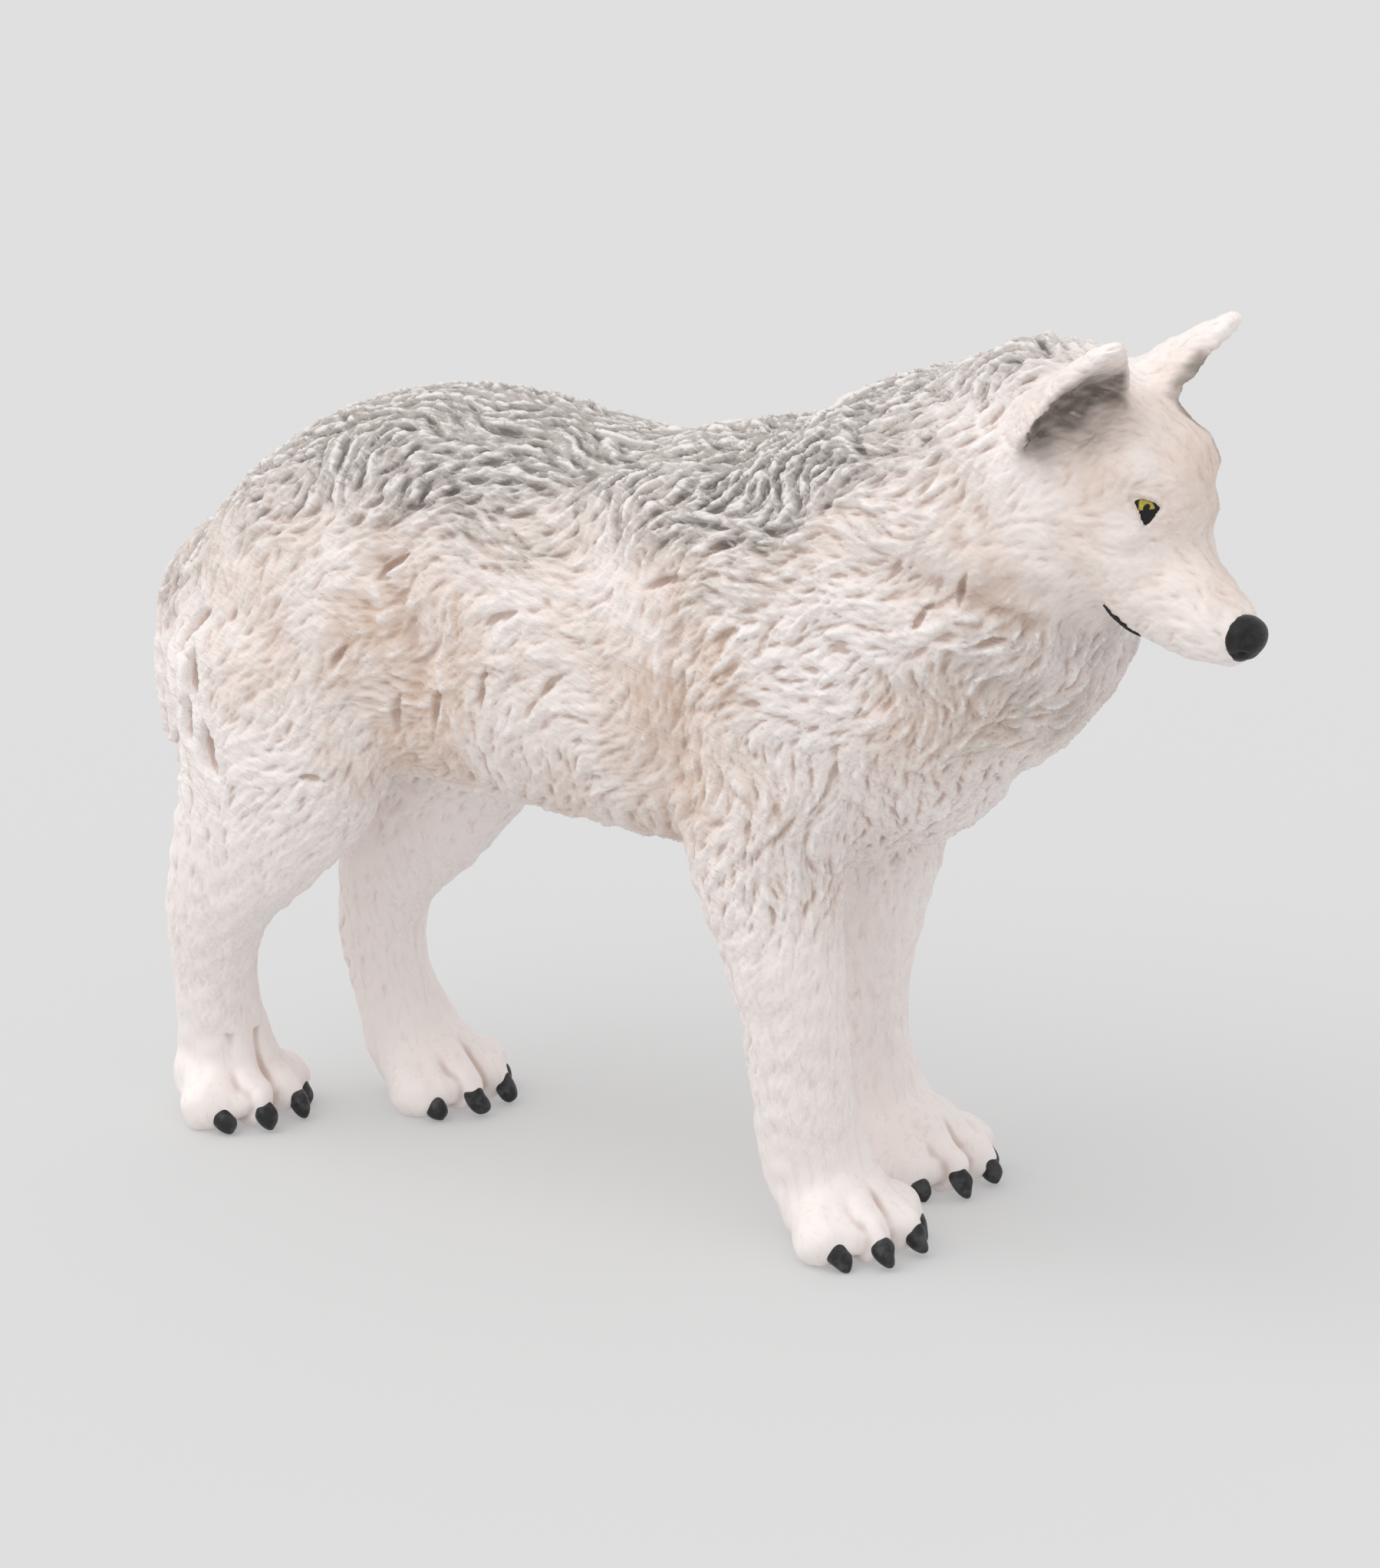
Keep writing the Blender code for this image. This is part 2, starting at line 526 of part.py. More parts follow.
def locks(points, normals):
    """Height of the fur: overlapping curved leaves that rise to a pointed end.

    Along a leaf `a` runs from its root to its end, and `b` is the distance
    from its bent middle line over its half width, which goes as sin(pi a^0.6).
    The height is (0.15 + 0.85 a) (1 - b^2)^0.75 times the fur's strength there.
    """
    strength = fur_strength(points)
    seeds, cells = scattered(points, strength > 0.1, LOCK_SPACING)
    centres, up = points[seeds], normals[seeds]
    way = hair_direction(centres, up)
    across = np.cross(up, way)
    step = way * 1.5
    turning = hair_direction(centres + step, up) - hair_direction(centres - step, up)
    bend = np.clip((turning * across).sum(1) / 3.0, -0.3, 0.3)
    long = LOCK_LENGTH * (0.7 + 0.3 * chance_in(cells, 4))
    half_wide = LOCK_WIDTH * (0.7 + 0.3 * chance_in(cells, 5)) / 2
    proud = 0.65 + 0.35 * chance_in(cells, 6)
    height = np.zeros(len(points))
    for index in range(len(seeds)):
        offset = points - centres[index]
        close = np.flatnonzero(np.abs(offset).max(1) < LOCK_LENGTH / 2)
        offset = offset[close]
        along = offset @ way[index]
        a = np.clip(along / long[index] + 0.5, 0, 1)
        b = (offset @ across[index] - bend[index] * along ** 2 / 2) / half_wide[index]
        b /= np.sin(np.pi * a ** 0.6) + 1e-6
        facing = normals[close] @ up[index] > 0.3
        leaf = (0.15 + 0.85 * a) * np.clip(1 - b ** 2, 0, 1) ** 0.75 * (a > 0) * (a < 1) * facing
        height[close] = np.maximum(height[close], leaf * proud[index])
    return (height - 0.3) * strength * LOCK_HEIGHT


def coat():
    """The whole skin with its fur, before it is thinned and stood on the ground; and the eyes' places."""
    shapes = [trunk(), neck(), nape(), head(), tail()] + legs() + paw_shapes()
    for side in (-1, 1):
        shapes += [brow(side), cheek(side), ear(side)]
    mesh = fused(shapes)
    smooth(mesh, SMOOTHING_PASSES, 0.6 * (1 - 0.85 * crispness(points_of(mesh))))
    points, places = eye_sockets(points_of(mesh), normals_of(mesh))
    mesh.vertices.foreach_set("co", points.ravel())
    mesh.update()
    normals = normals_of(mesh)
    points += normals * locks(points, normals)[:, None]
    mesh.vertices.foreach_set("co", points.ravel())
    mesh.update()
    smooth(mesh, 1, 0.45 * np.clip(fur_strength(points), 0, 1))
    return mesh, places


def plastic():
    """Painted matt plastic in the coat's mean colour."""
    material = bpy.data.materials.new("painted_plastic")
    material.use_nodes = True
    shader = material.node_tree.nodes["Principled BSDF"]
    shader.inputs["Base Color"].default_value = (0.66, 0.60, 0.56, 1.0)
    shader.inputs["Roughness"].default_value = 0.55
    shader.inputs["Metallic"].default_value = 0.0
    return material


def cutter(name, mesh, cutters):
    """A hidden object for a Boolean."""
    item = bpy.data.objects.new(name, mesh)
    item.hide_render = True
    item.display_type = "WIRE"
    cutters.objects.link(item)
    return item


def ground_block():
    """A block whose top is the ground."""
    bm = bmesh.new()
    bmesh.ops.create_cube(bm, size=1.0, matrix=Matrix.Translation((0, 0, -0.5)))
    bmesh.ops.scale(bm, vec=(400, 200, 20), verts=bm.verts)
    mesh = bpy.data.meshes.new("ground_block")
    bm.to_mesh(mesh)
    bm.free()
    return mesh


def to_metres(mesh, shift):
    """Shift a mesh in millimetres, then write it in metres."""
    points = (points_of(mesh) + shift) * MM
    mesh.vertices.foreach_set("co", points.ravel())
    mesh.update()


def main():
    for item in list(bpy.data.objects):
        bpy.data.objects.remove(item)
    figure = bpy.data.collections.new("wolf_figurine")
    cutters = bpy.data.collections.new("cutters")
    bpy.context.scene.collection.children.link(figure)
    bpy.context.scene.collection.children.link(cutters)
    skin, eye_places = coat()
    details = joined([nose()] + eyes(eye_places) + claws(), "details")
    points = points_of(skin)
    middle = (points.min(0) + points.max(0)) / 2
    shift = np.array([-middle[0], -middle[1], 0.0])
    skin_faces = len(skin.polygons) * 2
    ground = ground_block()
    for mesh in (skin, details, ground):
        to_metres(mesh, shift)
    wolf = bpy.data.objects.new(NAME, skin)
    figure.objects.link(wolf)
    skin.materials.append(plastic())
    thin = wolf.modifiers.new("fewer_faces", "DECIMATE")
    thin.ratio = TRIANGLES / skin_faces
    add = wolf.modifiers.new("nose_eyes_claws", "BOOLEAN")
    add.operation = "UNION"
    add.object = cutter("nose_eyes_claws", details, cutters)
    stand = wolf.modifiers.new("flat_soles", "BOOLEAN")
    stand.operation = "DIFFERENCE"
    stand.object = cutter("ground_block", ground, cutters)


main()
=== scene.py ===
"""The looks of the standing wolf: sculpted coat, painted face, claws, studio.

Lengths in the shape functions are millimetres in the figure's own frame, +X
towards the nose, +Y the wolf's left, +Z up, and become metres in `solid`.
The coat is one skin: lofted forms are fused, smoothed and refined, then the
fur is raised on it as tufts, strands and pits, and it is handed out in pieces
that meet edge to edge.
"""
import json
import bpy
import mathutils
import numpy as np
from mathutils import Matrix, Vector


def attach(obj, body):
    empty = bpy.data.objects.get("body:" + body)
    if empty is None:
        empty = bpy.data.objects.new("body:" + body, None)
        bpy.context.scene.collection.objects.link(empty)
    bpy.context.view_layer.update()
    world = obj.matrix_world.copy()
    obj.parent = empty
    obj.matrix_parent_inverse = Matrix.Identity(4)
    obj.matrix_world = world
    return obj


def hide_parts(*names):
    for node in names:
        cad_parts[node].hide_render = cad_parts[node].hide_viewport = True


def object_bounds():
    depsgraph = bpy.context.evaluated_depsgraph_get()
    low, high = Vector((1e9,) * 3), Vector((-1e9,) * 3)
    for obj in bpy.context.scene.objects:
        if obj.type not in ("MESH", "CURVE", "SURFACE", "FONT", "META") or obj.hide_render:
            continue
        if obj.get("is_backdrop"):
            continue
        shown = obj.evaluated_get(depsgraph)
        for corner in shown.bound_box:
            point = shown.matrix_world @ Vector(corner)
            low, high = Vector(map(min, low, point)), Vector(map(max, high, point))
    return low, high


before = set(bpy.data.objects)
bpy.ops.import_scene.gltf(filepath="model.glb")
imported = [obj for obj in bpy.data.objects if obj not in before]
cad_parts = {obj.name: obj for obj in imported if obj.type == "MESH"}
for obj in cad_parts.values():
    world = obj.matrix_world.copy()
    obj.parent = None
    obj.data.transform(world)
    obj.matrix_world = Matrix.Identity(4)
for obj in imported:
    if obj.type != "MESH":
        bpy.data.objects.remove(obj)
CAD_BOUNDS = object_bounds()
MM = 0.001
NODE = "wolf"

# Trunk, neck and head, as the solid has them
BACK_HEIGHT = 65.2
BELLY_HEIGHT = 32.2
TRUNK_HALF_WIDTH = 14.2
NECK_ROOT = np.array([14.0, 0.0, 52.0])
NECK_LENGTH = 26.0
NECK_RISE = 37.0
MANE_HALF_WIDTH = 13.6
HEAD_YAW = 17.0
HEAD_PITCH = 25.0
HEAD_SIDE_SHIFT = 2.6
SKULL_HALF_WIDTH = 7.3
MUZZLE_REACH = 16.0
MUZZLE_HALF_WIDTH = 3.1
NOSE_HALF_WIDTH = 1.95
EYE_SPACING = 9.4
EAR_LENGTH = 12.6
EAR_HALF_WIDTH = 4.8
EAR_WALL = 1.5
EAR_TURN = {-1: 10.0, 1: 30.0}

# Feet, legs, paws and tail
RIGHT_FORE_FOOT = (11.2, -4.9)
LEFT_FORE_FOOT = (8.4, 11.8)
RIGHT_HIND_FOOT = (-48.12, -3.8)
LEFT_HIND_FOOT = (-36.07, 7.7)
FORELEG_HALF_WIDTH = 4.0
HINDLEG_HALF_WIDTH = 3.8
PAW_LENGTH = 11.6
PAW_WIDTH = 12.0
PAW_HEIGHT = 7.0
TOE_LENGTH = 5.6
CLAW_LENGTH = 2.9
CLAW_WIDTH = 2.1
TAIL_ROOT = (-46.5, 0.0, 51.0)
TAIL_LENGTH = 28.0
TAIL_HALF_WIDTH = 4.3

# Fur
LOCK_LENGTH = 9.0
LOCK_WIDTH = 3.1
LOCK_HEIGHT = 1.1
LOCK_SPACING = 3.4

VOXEL = 0.44
SMOOTHING_PASSES = 22
RELIEF_PASSES = 16

# From the figure's own frame to the solid's, and how far below the skin a cut piece is capped
SHIFT = np.array([2.73, -1.28, 0.0])
CAP_DEPTH = 1.2

# Where the coat is cut into pieces: planes along the body, heights, then how the head is parted off
MANE_CUT = -2.0
LEGS_PARTING = -8.0
CROUP_CUT = -20.0
LEG_CUT = 23.0
CHEST_CUT = 57.0
RUMP_CUT = 50.0
HEAD_BACK = -9.0
HEAD_FOOT = 44.0
HEAD_START = 28.0

# Paint
WHITE = (0.92, 0.85, 0.825)
TAN = (0.66, 0.475, 0.36)
SADDLE = (0.425, 0.385, 0.35)
# Dark grey-brown: paint of throat and chest; in the ear hollows that paint deepened as painted shade
SHADE = (0.17, 0.14, 0.12)
# Colours of the fur's recesses, saddle and white: partly the paint's wash, partly painted shade
GROOVE_WASH_AND_SHADE = (0.15, 0.13, 0.118)
CREAM_WASH_AND_SHADE = (0.58, 0.45, 0.385)
# Colour of the raised fur: partly dry-brushed paint, partly painted highlight
RIDGE_PAINT_AND_HIGHLIGHT = (0.92, 0.875, 0.86)
THIN_WHITE = (0.90, 0.85, 0.83)
EYE_BLACK = (0.006, 0.006, 0.006)
THIN_BLACK = (0.02, 0.02, 0.018)
OLIVE = (0.30, 0.23, 0.03)
PALE_OLIVE = (0.62, 0.52, 0.10)

# Dark paints: full colour, thin colour, roughness
NOSE_PAINT = ((0.009, 0.009, 0.01), (0.03, 0.03, 0.032), 0.26)
CLAW_PAINT = ((0.02, 0.02, 0.021), (0.075, 0.078, 0.08), 0.3)
MOUTH_PAINT = ((0.01, 0.01, 0.01), (0.05, 0.045, 0.04), 0.4)

# Light and view
SKY = 0.87
BACKDROP = 0.745
FLOOR_GREY = 0.42
FLOOR_GLOW = 0.262
KEY_WAY = (-0.5, -0.55, 1.1)
KEY_ENERGY = 1.05
KEY_ANGLE = 60.0
VIEW_AZIMUTH = 29.0
VIEW_ELEVATION = 18.0
VIEW_DISTANCE = 520.0
VIEW_LENS = 144.7
VIEW_TARGET = np.array([0.0, -6.0, 38.0])


def unit(vector):
    """A vector at length one."""
    vector = np.asarray(vector, float)
    return vector / np.linalg.norm(vector)


def axes_from(yaw, pitch):
    """Rows: forward, left and up, turned left by `yaw` and lowered by `pitch` degrees."""
    yaw, pitch = np.radians([yaw, pitch])
    forward = np.array([np.cos(pitch) * np.cos(yaw), np.cos(pitch) * np.sin(yaw), -np.sin(pitch)])
    left = np.array([-np.sin(yaw), np.cos(yaw), 0.0])
    return np.array([forward, left, np.cross(forward, left)])


HEAD_AXES = axes_from(-HEAD_YAW, HEAD_PITCH)
NECK_AXES = axes_from(0.0, -NECK_RISE)
HEAD_CENTRE = NECK_ROOT + NECK_AXES[0] * (NECK_LENGTH + 3.0) + (0.0, -HEAD_SIDE_SHIFT, 0.0)


def from_head(points):
    """Head coordinates (forward, left, up) to the figure's frame."""
    return HEAD_CENTRE + np.asarray(points, float) @ HEAD_AXES


def to_head(points):
    """The figure's frame to head coordinates."""
    return (np.asarray(points, float) - HEAD_CENTRE) @ HEAD_AXES.T


def smoothstep(low, high, value):
    """Zero below `low`, one above `high`, eased between: 3 t^2 - 2 t^3."""
    t = np.clip((value - low) / (high - low), 0, 1)
    return t * t * (3 - 2 * t)


def bell(distance, width):
    """One at nothing, easing to nothing on both sides: exp(-(d / width)^2)."""
    return np.exp(-(distance / width) ** 2)


def around_place(points, place, spread):
    """One at the place, easing to nothing all round: exp(-d^2 / spread)."""
    return np.exp(-((points - place) ** 2).sum(1) / spread)


def turn_of(count):
    """Angles once round."""
    return np.linspace(0, 2 * np.pi, count, endpoint=False)


# The lofted forms

def through(stations, steps=6):
    """A smooth curve through the stations: Catmull-Rom, column by column."""
    points = np.asarray(stations, float)
    padded = np.vstack([2 * points[0] - points[1], points, 2 * points[-1] - points[-2]])
    t = np.linspace(0, 1, steps, endpoint=False)[:, None]
    rows = []
    for a, b, c, d in zip(padded, padded[1:], padded[2:], padded[3:]):
        rows.append(0.5 * (2 * b + (c - a) * t + (2 * a - 5 * b + 4 * c - d) * t ** 2
                           + (3 * b - a - 3 * c + d) * t ** 3))
    return np.vstack(rows + [points[-1:]])


def tube_faces(count, around):
    """Quads between neighbouring rings, and one face over each end."""
    ring = np.arange(around)
    after = np.roll(ring, -1)
    faces = []
    for row in range(count - 1):
        low = row * around
        faces += np.stack([low + ring, low + after, low + around + after, low + around + ring], 1).tolist()
    faces.append(ring[::-1].tolist())
    faces.append((ring + (count - 1) * around).tolist())
    return faces


def loft(stations, around=32, squareness=2.2, steps=6):
    """A rounded tube along stations of (x, y, z, half width, half height).

    Each section is the superellipse |u / width|^s + |v / height|^s = 1 across
    the path, its width along Y; each end closes over a half ellipsoid.
    """
    table = through(stations, steps)
    tilt = np.linspace(np.radians(80), 0, 6)[:-1, None]
    start = unit(table[1, :3] - table[0, :3])
    end = unit(table[-1, :3] - table[-2, :3])
    domes = []
    for station, outward in ((table[0], -start), (table[-1], end)):
        reach = 0.8 * station[3:].min()
        centre = station[:3] + outward * reach * np.sin(tilt)
        domes.append(np.hstack([centre, station[3:] * np.cos(tilt)]))
    table = np.vstack([domes[0], table, domes[1][::-1]])
    along = np.gradient(table[:, :3], axis=0)
    along /= np.linalg.norm(along, axis=1)[:, None]
    wide = np.array([0.0, 1.0, 0.0]) - along * along[:, 1:2]
    wide /= np.linalg.norm(wide, axis=1)[:, None]
    tall = np.cross(along, wide)
    angle = turn_of(around)
    across = np.sign(np.cos(angle)) * np.abs(np.cos(angle)) ** (2 / squareness)
    upward = np.sign(np.sin(angle)) * np.abs(np.sin(angle)) ** (2 / squareness)
    points = (table[:, None, :3] + wide[:, None] * (table[:, 3, None] * across)[..., None]
              + tall[:, None] * (table[:, 4, None] * upward)[..., None])
    return points.reshape(-1, 3), tube_faces(len(table), around)


def placed(shape, centre, axes):
    """A shape given in the rows of `axes` about `centre`, put in the figure's frame."""
    points, faces = shape
    return np.asarray(centre) + points @ np.asarray(axes), faces


def globe(rings, around):
    """Directions all round, ring by ring from below: (sin b cos a, sin b sin a, -cos b)."""
    rise = np.linspace(0, np.pi, rings + 2)[1:-1, None]
    angle = turn_of(around)
    grid = [np.sin(rise) * np.cos(angle), np.sin(rise) * np.sin(angle), -np.cos(rise) * np.ones(around)]
    return np.stack(grid, -1).reshape(-1, 3)


def ball(centre, radii, axes):
    """An ellipsoid: the directions of a globe times its radii, along `axes`."""
    return placed((globe(11, 24) * radii, tube_faces(11, 24)), centre, axes)


def trunk():
    """Stations: x, then top, bottom and half width against the trunk's own sizes."""
    stations = []
    for x, top, bottom, wider in (
            (-46.8, -14.4, 8.5, -5.4), (-43.6, -8.9, 5.0, -3.2), (-38.0, -3.9, 2.8, -1.4),
            (-30.0, 0.6, 1.6, -0.7), (-22.0, 2.0, 0.9, -0.7), (-13.0, 0.6, 0.4, -0.2),
            (-5.0, 0.1, -0.1, 0.3), (2.0, 1.9, -0.5, 0.6), (8.0, 3.1, -0.5, 0.3),
            (14.0, 3.4, 0.2, -0.7), (19.0, 1.0, 2.4, -3.0)):
        top += BACK_HEIGHT
        bottom += BELLY_HEIGHT
        stations.append((x, 0, (top + bottom) / 2, TRUNK_HALF_WIDTH + wider, (top - bottom) / 2))
    return loft(stations, around=48, squareness=2.3)


def neck():
    """The mane around the neck: shares of its length and side shift, lift, and radii."""
    stations = []
    for share, shift, lift, wider, tall in (
            (0.0, 0.0, 0.0, 0.2, 16.2), (0.25, 0.0, 0.2, 0.2, 16.5), (0.46, 0.1, 0.6, -0.4, 15.8),
            (0.64, 0.4, 0.8, -1.8, 14.2), (0.78, 0.7, 0.6, -3.8, 12.0), (0.88, 0.9, 0.3, -5.6, 9.8)):
        stations.append((share * NECK_LENGTH, -HEAD_SIDE_SHIFT * shift, lift, MANE_HALF_WIDTH + wider, tall))
    return placed(loft(stations, around=44), NECK_ROOT, NECK_AXES)


def head():
    """Skull and muzzle in one loft: share of the muzzle's reach, top, bottom, half width."""
    skull_fall = SKULL_HALF_WIDTH - MUZZLE_HALF_WIDTH
    stations = []
    for share, top, bottom, narrower in (
            (-0.62, 4.4, -8.0, 0.05), (-0.36, 6.0, -9.6, 0.0), (-0.08, 6.3, -10.2, 0.03),
            (0.14, 5.4, -10.7, 0.14), (0.3, 2.1, -10.8, 0.3), (0.46, -0.9, -10.6, 0.5),
            (0.66, -2.1, -10.1, 0.73), (0.86, -2.8, -9.2, 0.9), (0.97, -3.5, -8.4, 1.05)):
        width = SKULL_HALF_WIDTH - narrower * skull_fall
        stations.append((share * MUZZLE_REACH, 0, (top + bottom) / 2, width, (top - bottom) / 2))
    return placed(loft(stations, around=40), HEAD_CENTRE, HEAD_AXES)


# Ridges of the left side of the head: the brow over the eye, and the ruff that hangs from the cheek
HEAD_RIDGES = (
    ((-1.0, 3.6, 2.6, 3.0, 2.6), (2.6, 3.2, 1.9, 2.6, 2.2), (5.0, 2.6, 0.4, 1.7, 1.5)),
    ((0.5, 4.8, -4.6, 2.8, 4.4), (-3.5, 6.8, -5.2, 3.2, 5.4), (-7.5, 8.4, -6.2, 3.2, 5.8),
     (-11.0, 9.4, -7.4, 2.4, 4.6)))


def head_ridge(stations, side):
    """A ridge of the head on one side."""
    mirrored = np.array(stations) * (1, side, 1, 1, 1)
    return placed(loft(mirrored, around=20, squareness=2), HEAD_CENTRE, HEAD_AXES)


def nape():
    """The fur behind the ears, which fills the head into the mane."""
    return ball(from_head((-8.5, 0.6, -5.6)), (9.0, SKULL_HALF_WIDTH + 2.6, 9.0), HEAD_AXES)


def ear_frame(side):
    """Rows across, along the opening, and up an ear, with its root, in head coordinates."""
    turn = np.radians(EAR_TURN[side])
    opening = np.array([np.cos(turn), side * np.sin(turn), 0.0])
    upward = unit((0.22, 0.17 * side, 1.0))
    across = unit(np.cross(upward, opening))
    return np.array([across, np.cross(across, upward), upward]), np.array([-2.4, 5.0 * side, 1.0])


def ear(side):
    """A cupped ear: crescent sections that narrow to the tip and lean outwards.

    A section's outer side is the half ellipse (w cos a, d sin a), its inner side
    the same at a depth less by the wall.
    """
    (across, opening, upward), root = ear_frame(side)
    angle = np.linspace(0, np.pi, 15)
    profile = through([(-0.12, 0.8, 0.95), (0.1, 1.0, 1.0), (0.3, 0.98, 0.9), (0.5, 0.82, 0.72),
                       (0.7, 0.58, 0.52), (0.88, 0.37, 0.36), (1.0, 0.17, 0.18)], 3)
    rows = []
    for share, width, depth in profile:
        half = EAR_HALF_WIDTH * width
        back = EAR_HALF_WIDTH * 0.95 * depth
        front = max(back - EAR_WALL, -0.1)
        centre = root + upward * share * EAR_LENGTH
        outer = np.outer(half * np.cos(angle), across) - np.outer(back * np.sin(angle), opening)
        inner = (np.outer(0.86 * half * np.cos(angle), across)
                 - np.outer(front * np.sin(angle) - 0.35, opening))
        rows.append(centre + np.vstack([outer, inner[::-1]]))
    faces = tube_faces(len(rows), 2 * len(angle))
    if side < 0:
        faces = [face[::-1] for face in faces]
    return placed((np.vstack(rows), faces), HEAD_CENTRE, HEAD_AXES)


def leg(foot, half_width, stations):
    """Stations up from the ankle: share of the belly's height, x and y shift, width and depth ratios."""
    rows = [(foot[0] + dx, foot[1] + dy, share * BELLY_HEIGHT, half_width * wide, half_width * deep)
            for share, dx, dy, wide, deep in stations]
    return loft(rows, around=32)


def legs():
    """The four legs, each from its ankle up into the trunk."""
    right_fore = ((0.18, 0.3, 0.0, 1.08, 1.16), (0.36, 0.0, -1.8, 0.98, 1.1), (0.58, 0.0, -3.2, 1.0, 1.12),
                  (0.8, -0.5, -4.5, 1.1, 1.26), (1.0, -1.8, -4.8, 1.24, 1.55), (1.25, -2.8, -4.3, 1.36, 1.95))
    left_fore = ((0.18, 0.2, 0.0, 1.06, 1.14), (0.36, -1.0, -1.1, 0.96, 1.08), (0.58, -0.6, -1.8, 0.98, 1.1),
                 (0.8, 0.6, -2.1, 1.08, 1.26), (1.0, 1.2, -2.3, 1.22, 1.5), (1.25, 0.6, -3.1, 1.36, 1.95))
    right_hind = ((0.17, 0.4, 0.0, 1.06, 1.16), (0.32, 0.6, -1.5, 0.92, 1.0), (0.5, 1.2, -3.0, 0.94, 1.06),
                  (0.68, 3.0, -4.2, 1.1, 1.38), (0.88, 6.8, -4.7, 1.34, 1.95), (1.1, 9.8, -4.5, 1.62, 2.6),
                  (1.36, 9.6, -3.5, 1.75, 2.9))
    left_hind = ((0.17, 0.4, 0.0, 1.06, 1.16), (0.32, -1.2, -0.6, 0.9, 0.98), (0.5, -2.1, -0.8, 0.94, 1.04),
                 (0.68, -0.5, -0.9, 1.1, 1.36), (0.88, 3.3, -0.5, 1.34, 1.85), (1.1, 5.3, -0.5, 1.62, 2.4),
                 (1.36, 1.3, -1.1, 1.75, 2.9))
    return [leg(RIGHT_FORE_FOOT, FORELEG_HALF_WIDTH, right_fore),
            leg(LEFT_FORE_FOOT, FORELEG_HALF_WIDTH, left_fore),
            leg(RIGHT_HIND_FOOT, HINDLEG_HALF_WIDTH, right_hind),
            leg(LEFT_HIND_FOOT, HINDLEG_HALF_WIDTH, left_hind)]


def paws():
    """For each paw: its centre on the ground, ahead of its ankle, and its axes, toes along the first row."""
    result = []
    for foot, heading, ahead in ((RIGHT_FORE_FOOT, -14, 3.5), (LEFT_FORE_FOOT, -10, 4.6),
                                 (RIGHT_HIND_FOOT, -12, 1.1), (LEFT_HIND_FOOT, -6, 2.9)):
        axes = axes_from(heading, 0.0)
        result.append((np.array([foot[0], foot[1], 0.0]) + axes[0] * ahead, axes))
    return result


def toe_tips():
    """Each toe's place in its paw's axes: ahead, left, height."""
    middle, outer = PAW_LENGTH / 2 - TOE_LENGTH / 2 + 0.9, PAW_LENGTH / 2 - TOE_LENGTH / 2 - 1.5
    inside, outside = PAW_WIDTH * 0.17, PAW_WIDTH * 0.4
    return ((outer, -outside, 2.1), (middle, -inside, 2.4), (middle, inside, 2.4), (outer, outside, 2.1))


def paw_shapes():
    """Each paw's body and its four toes."""
    shapes = []
    for centre, axes in paws():
        radii = (PAW_LENGTH * 0.44, PAW_WIDTH * 0.42, PAW_HEIGHT * 0.56)
        shapes.append(ball(centre + axes[2] * PAW_HEIGHT * 0.47 - axes[0] * 0.6, radii, axes))
        for toe in toe_tips():
            radii = (TOE_LENGTH / 2, PAW_WIDTH * 0.19, PAW_HEIGHT * 0.36)
            shapes.append(ball(centre + np.array(toe) @ axes, radii, axes))
    return shapes


def tail():
    """The tail hangs close behind the rump: shares of its length back, down, and radii."""
    x, y, z = TAIL_ROOT
    rows = []
    for back, down, wide, deep in ((-0.12, -0.04, 0.9, 0.8), (0.05, 0.05, 1.0, 0.92), (0.14, 0.2, 1.1, 1.05),
                                   (0.17, 0.42, 1.1, 1.05), (0.15, 0.62, 0.95, 0.9), (0.11, 0.82, 0.66, 0.64),
                                   (0.08, 0.96, 0.34, 0.34)):
        rows.append((x - back * TAIL_LENGTH, y, z - down * TAIL_LENGTH,
                     TAIL_HALF_WIDTH * wide, TAIL_HALF_WIDTH * deep))
    return loft(rows, around=28, squareness=2)


# Meshes

def joined(shapes, name):
    """One mesh of several closed shapes."""
    points, faces, count = [], [], 0
    for shape_points, shape_faces in shapes:
        points.append(shape_points)
        faces += [[index + count for index in face] for face in shape_faces]
        count += len(shape_points)
    mesh = bpy.data.meshes.new(name)
    mesh.from_pydata(np.vstack(points).tolist(), [], faces)
    return mesh


def added(name, data):
    """A new object in the scene."""
    holder = bpy.data.objects.new(name, data)
    bpy.context.scene.collection.objects.link(holder)
    return holder


def baked(mesh, kind, **settings):
    """The mesh after one modifier, as a new mesh."""
    guide = added("guide", mesh)
    modifier = guide.modifiers.new("step", kind)
    for name, value in settings.items():
        setattr(modifier, name, value)
    evaluated = guide.evaluated_get(bpy.context.evaluated_depsgraph_get())
    result = bpy.data.meshes.new_from_object(evaluated)
    bpy.data.objects.remove(guide)
    return result


def numbers(items, name, width, kind=float):
    """One property of every item of a mesh, in rows of `width`."""
    values = np.empty(len(items) * width, kind)
    items.foreach_get(name, values)
    return values.reshape(-1, width)


def points_of(mesh):
    """A mesh's vertices as an array."""
    return numbers(mesh.vertices, "co", 3)


def normals_of(mesh):
    """A mesh's vertex normals as an array."""
    return numbers(mesh.vertex_normals, "vector", 3)


def set_points(mesh, points):
    """Write an array of vertices back."""
    mesh.vertices.foreach_set("co", np.asarray(points, np.float32).ravel())
    mesh.update()


def edges_of(mesh):
    """Start and end vertex of every edge."""
    return numbers(mesh.edges, "vertices", 2, np.int32).T


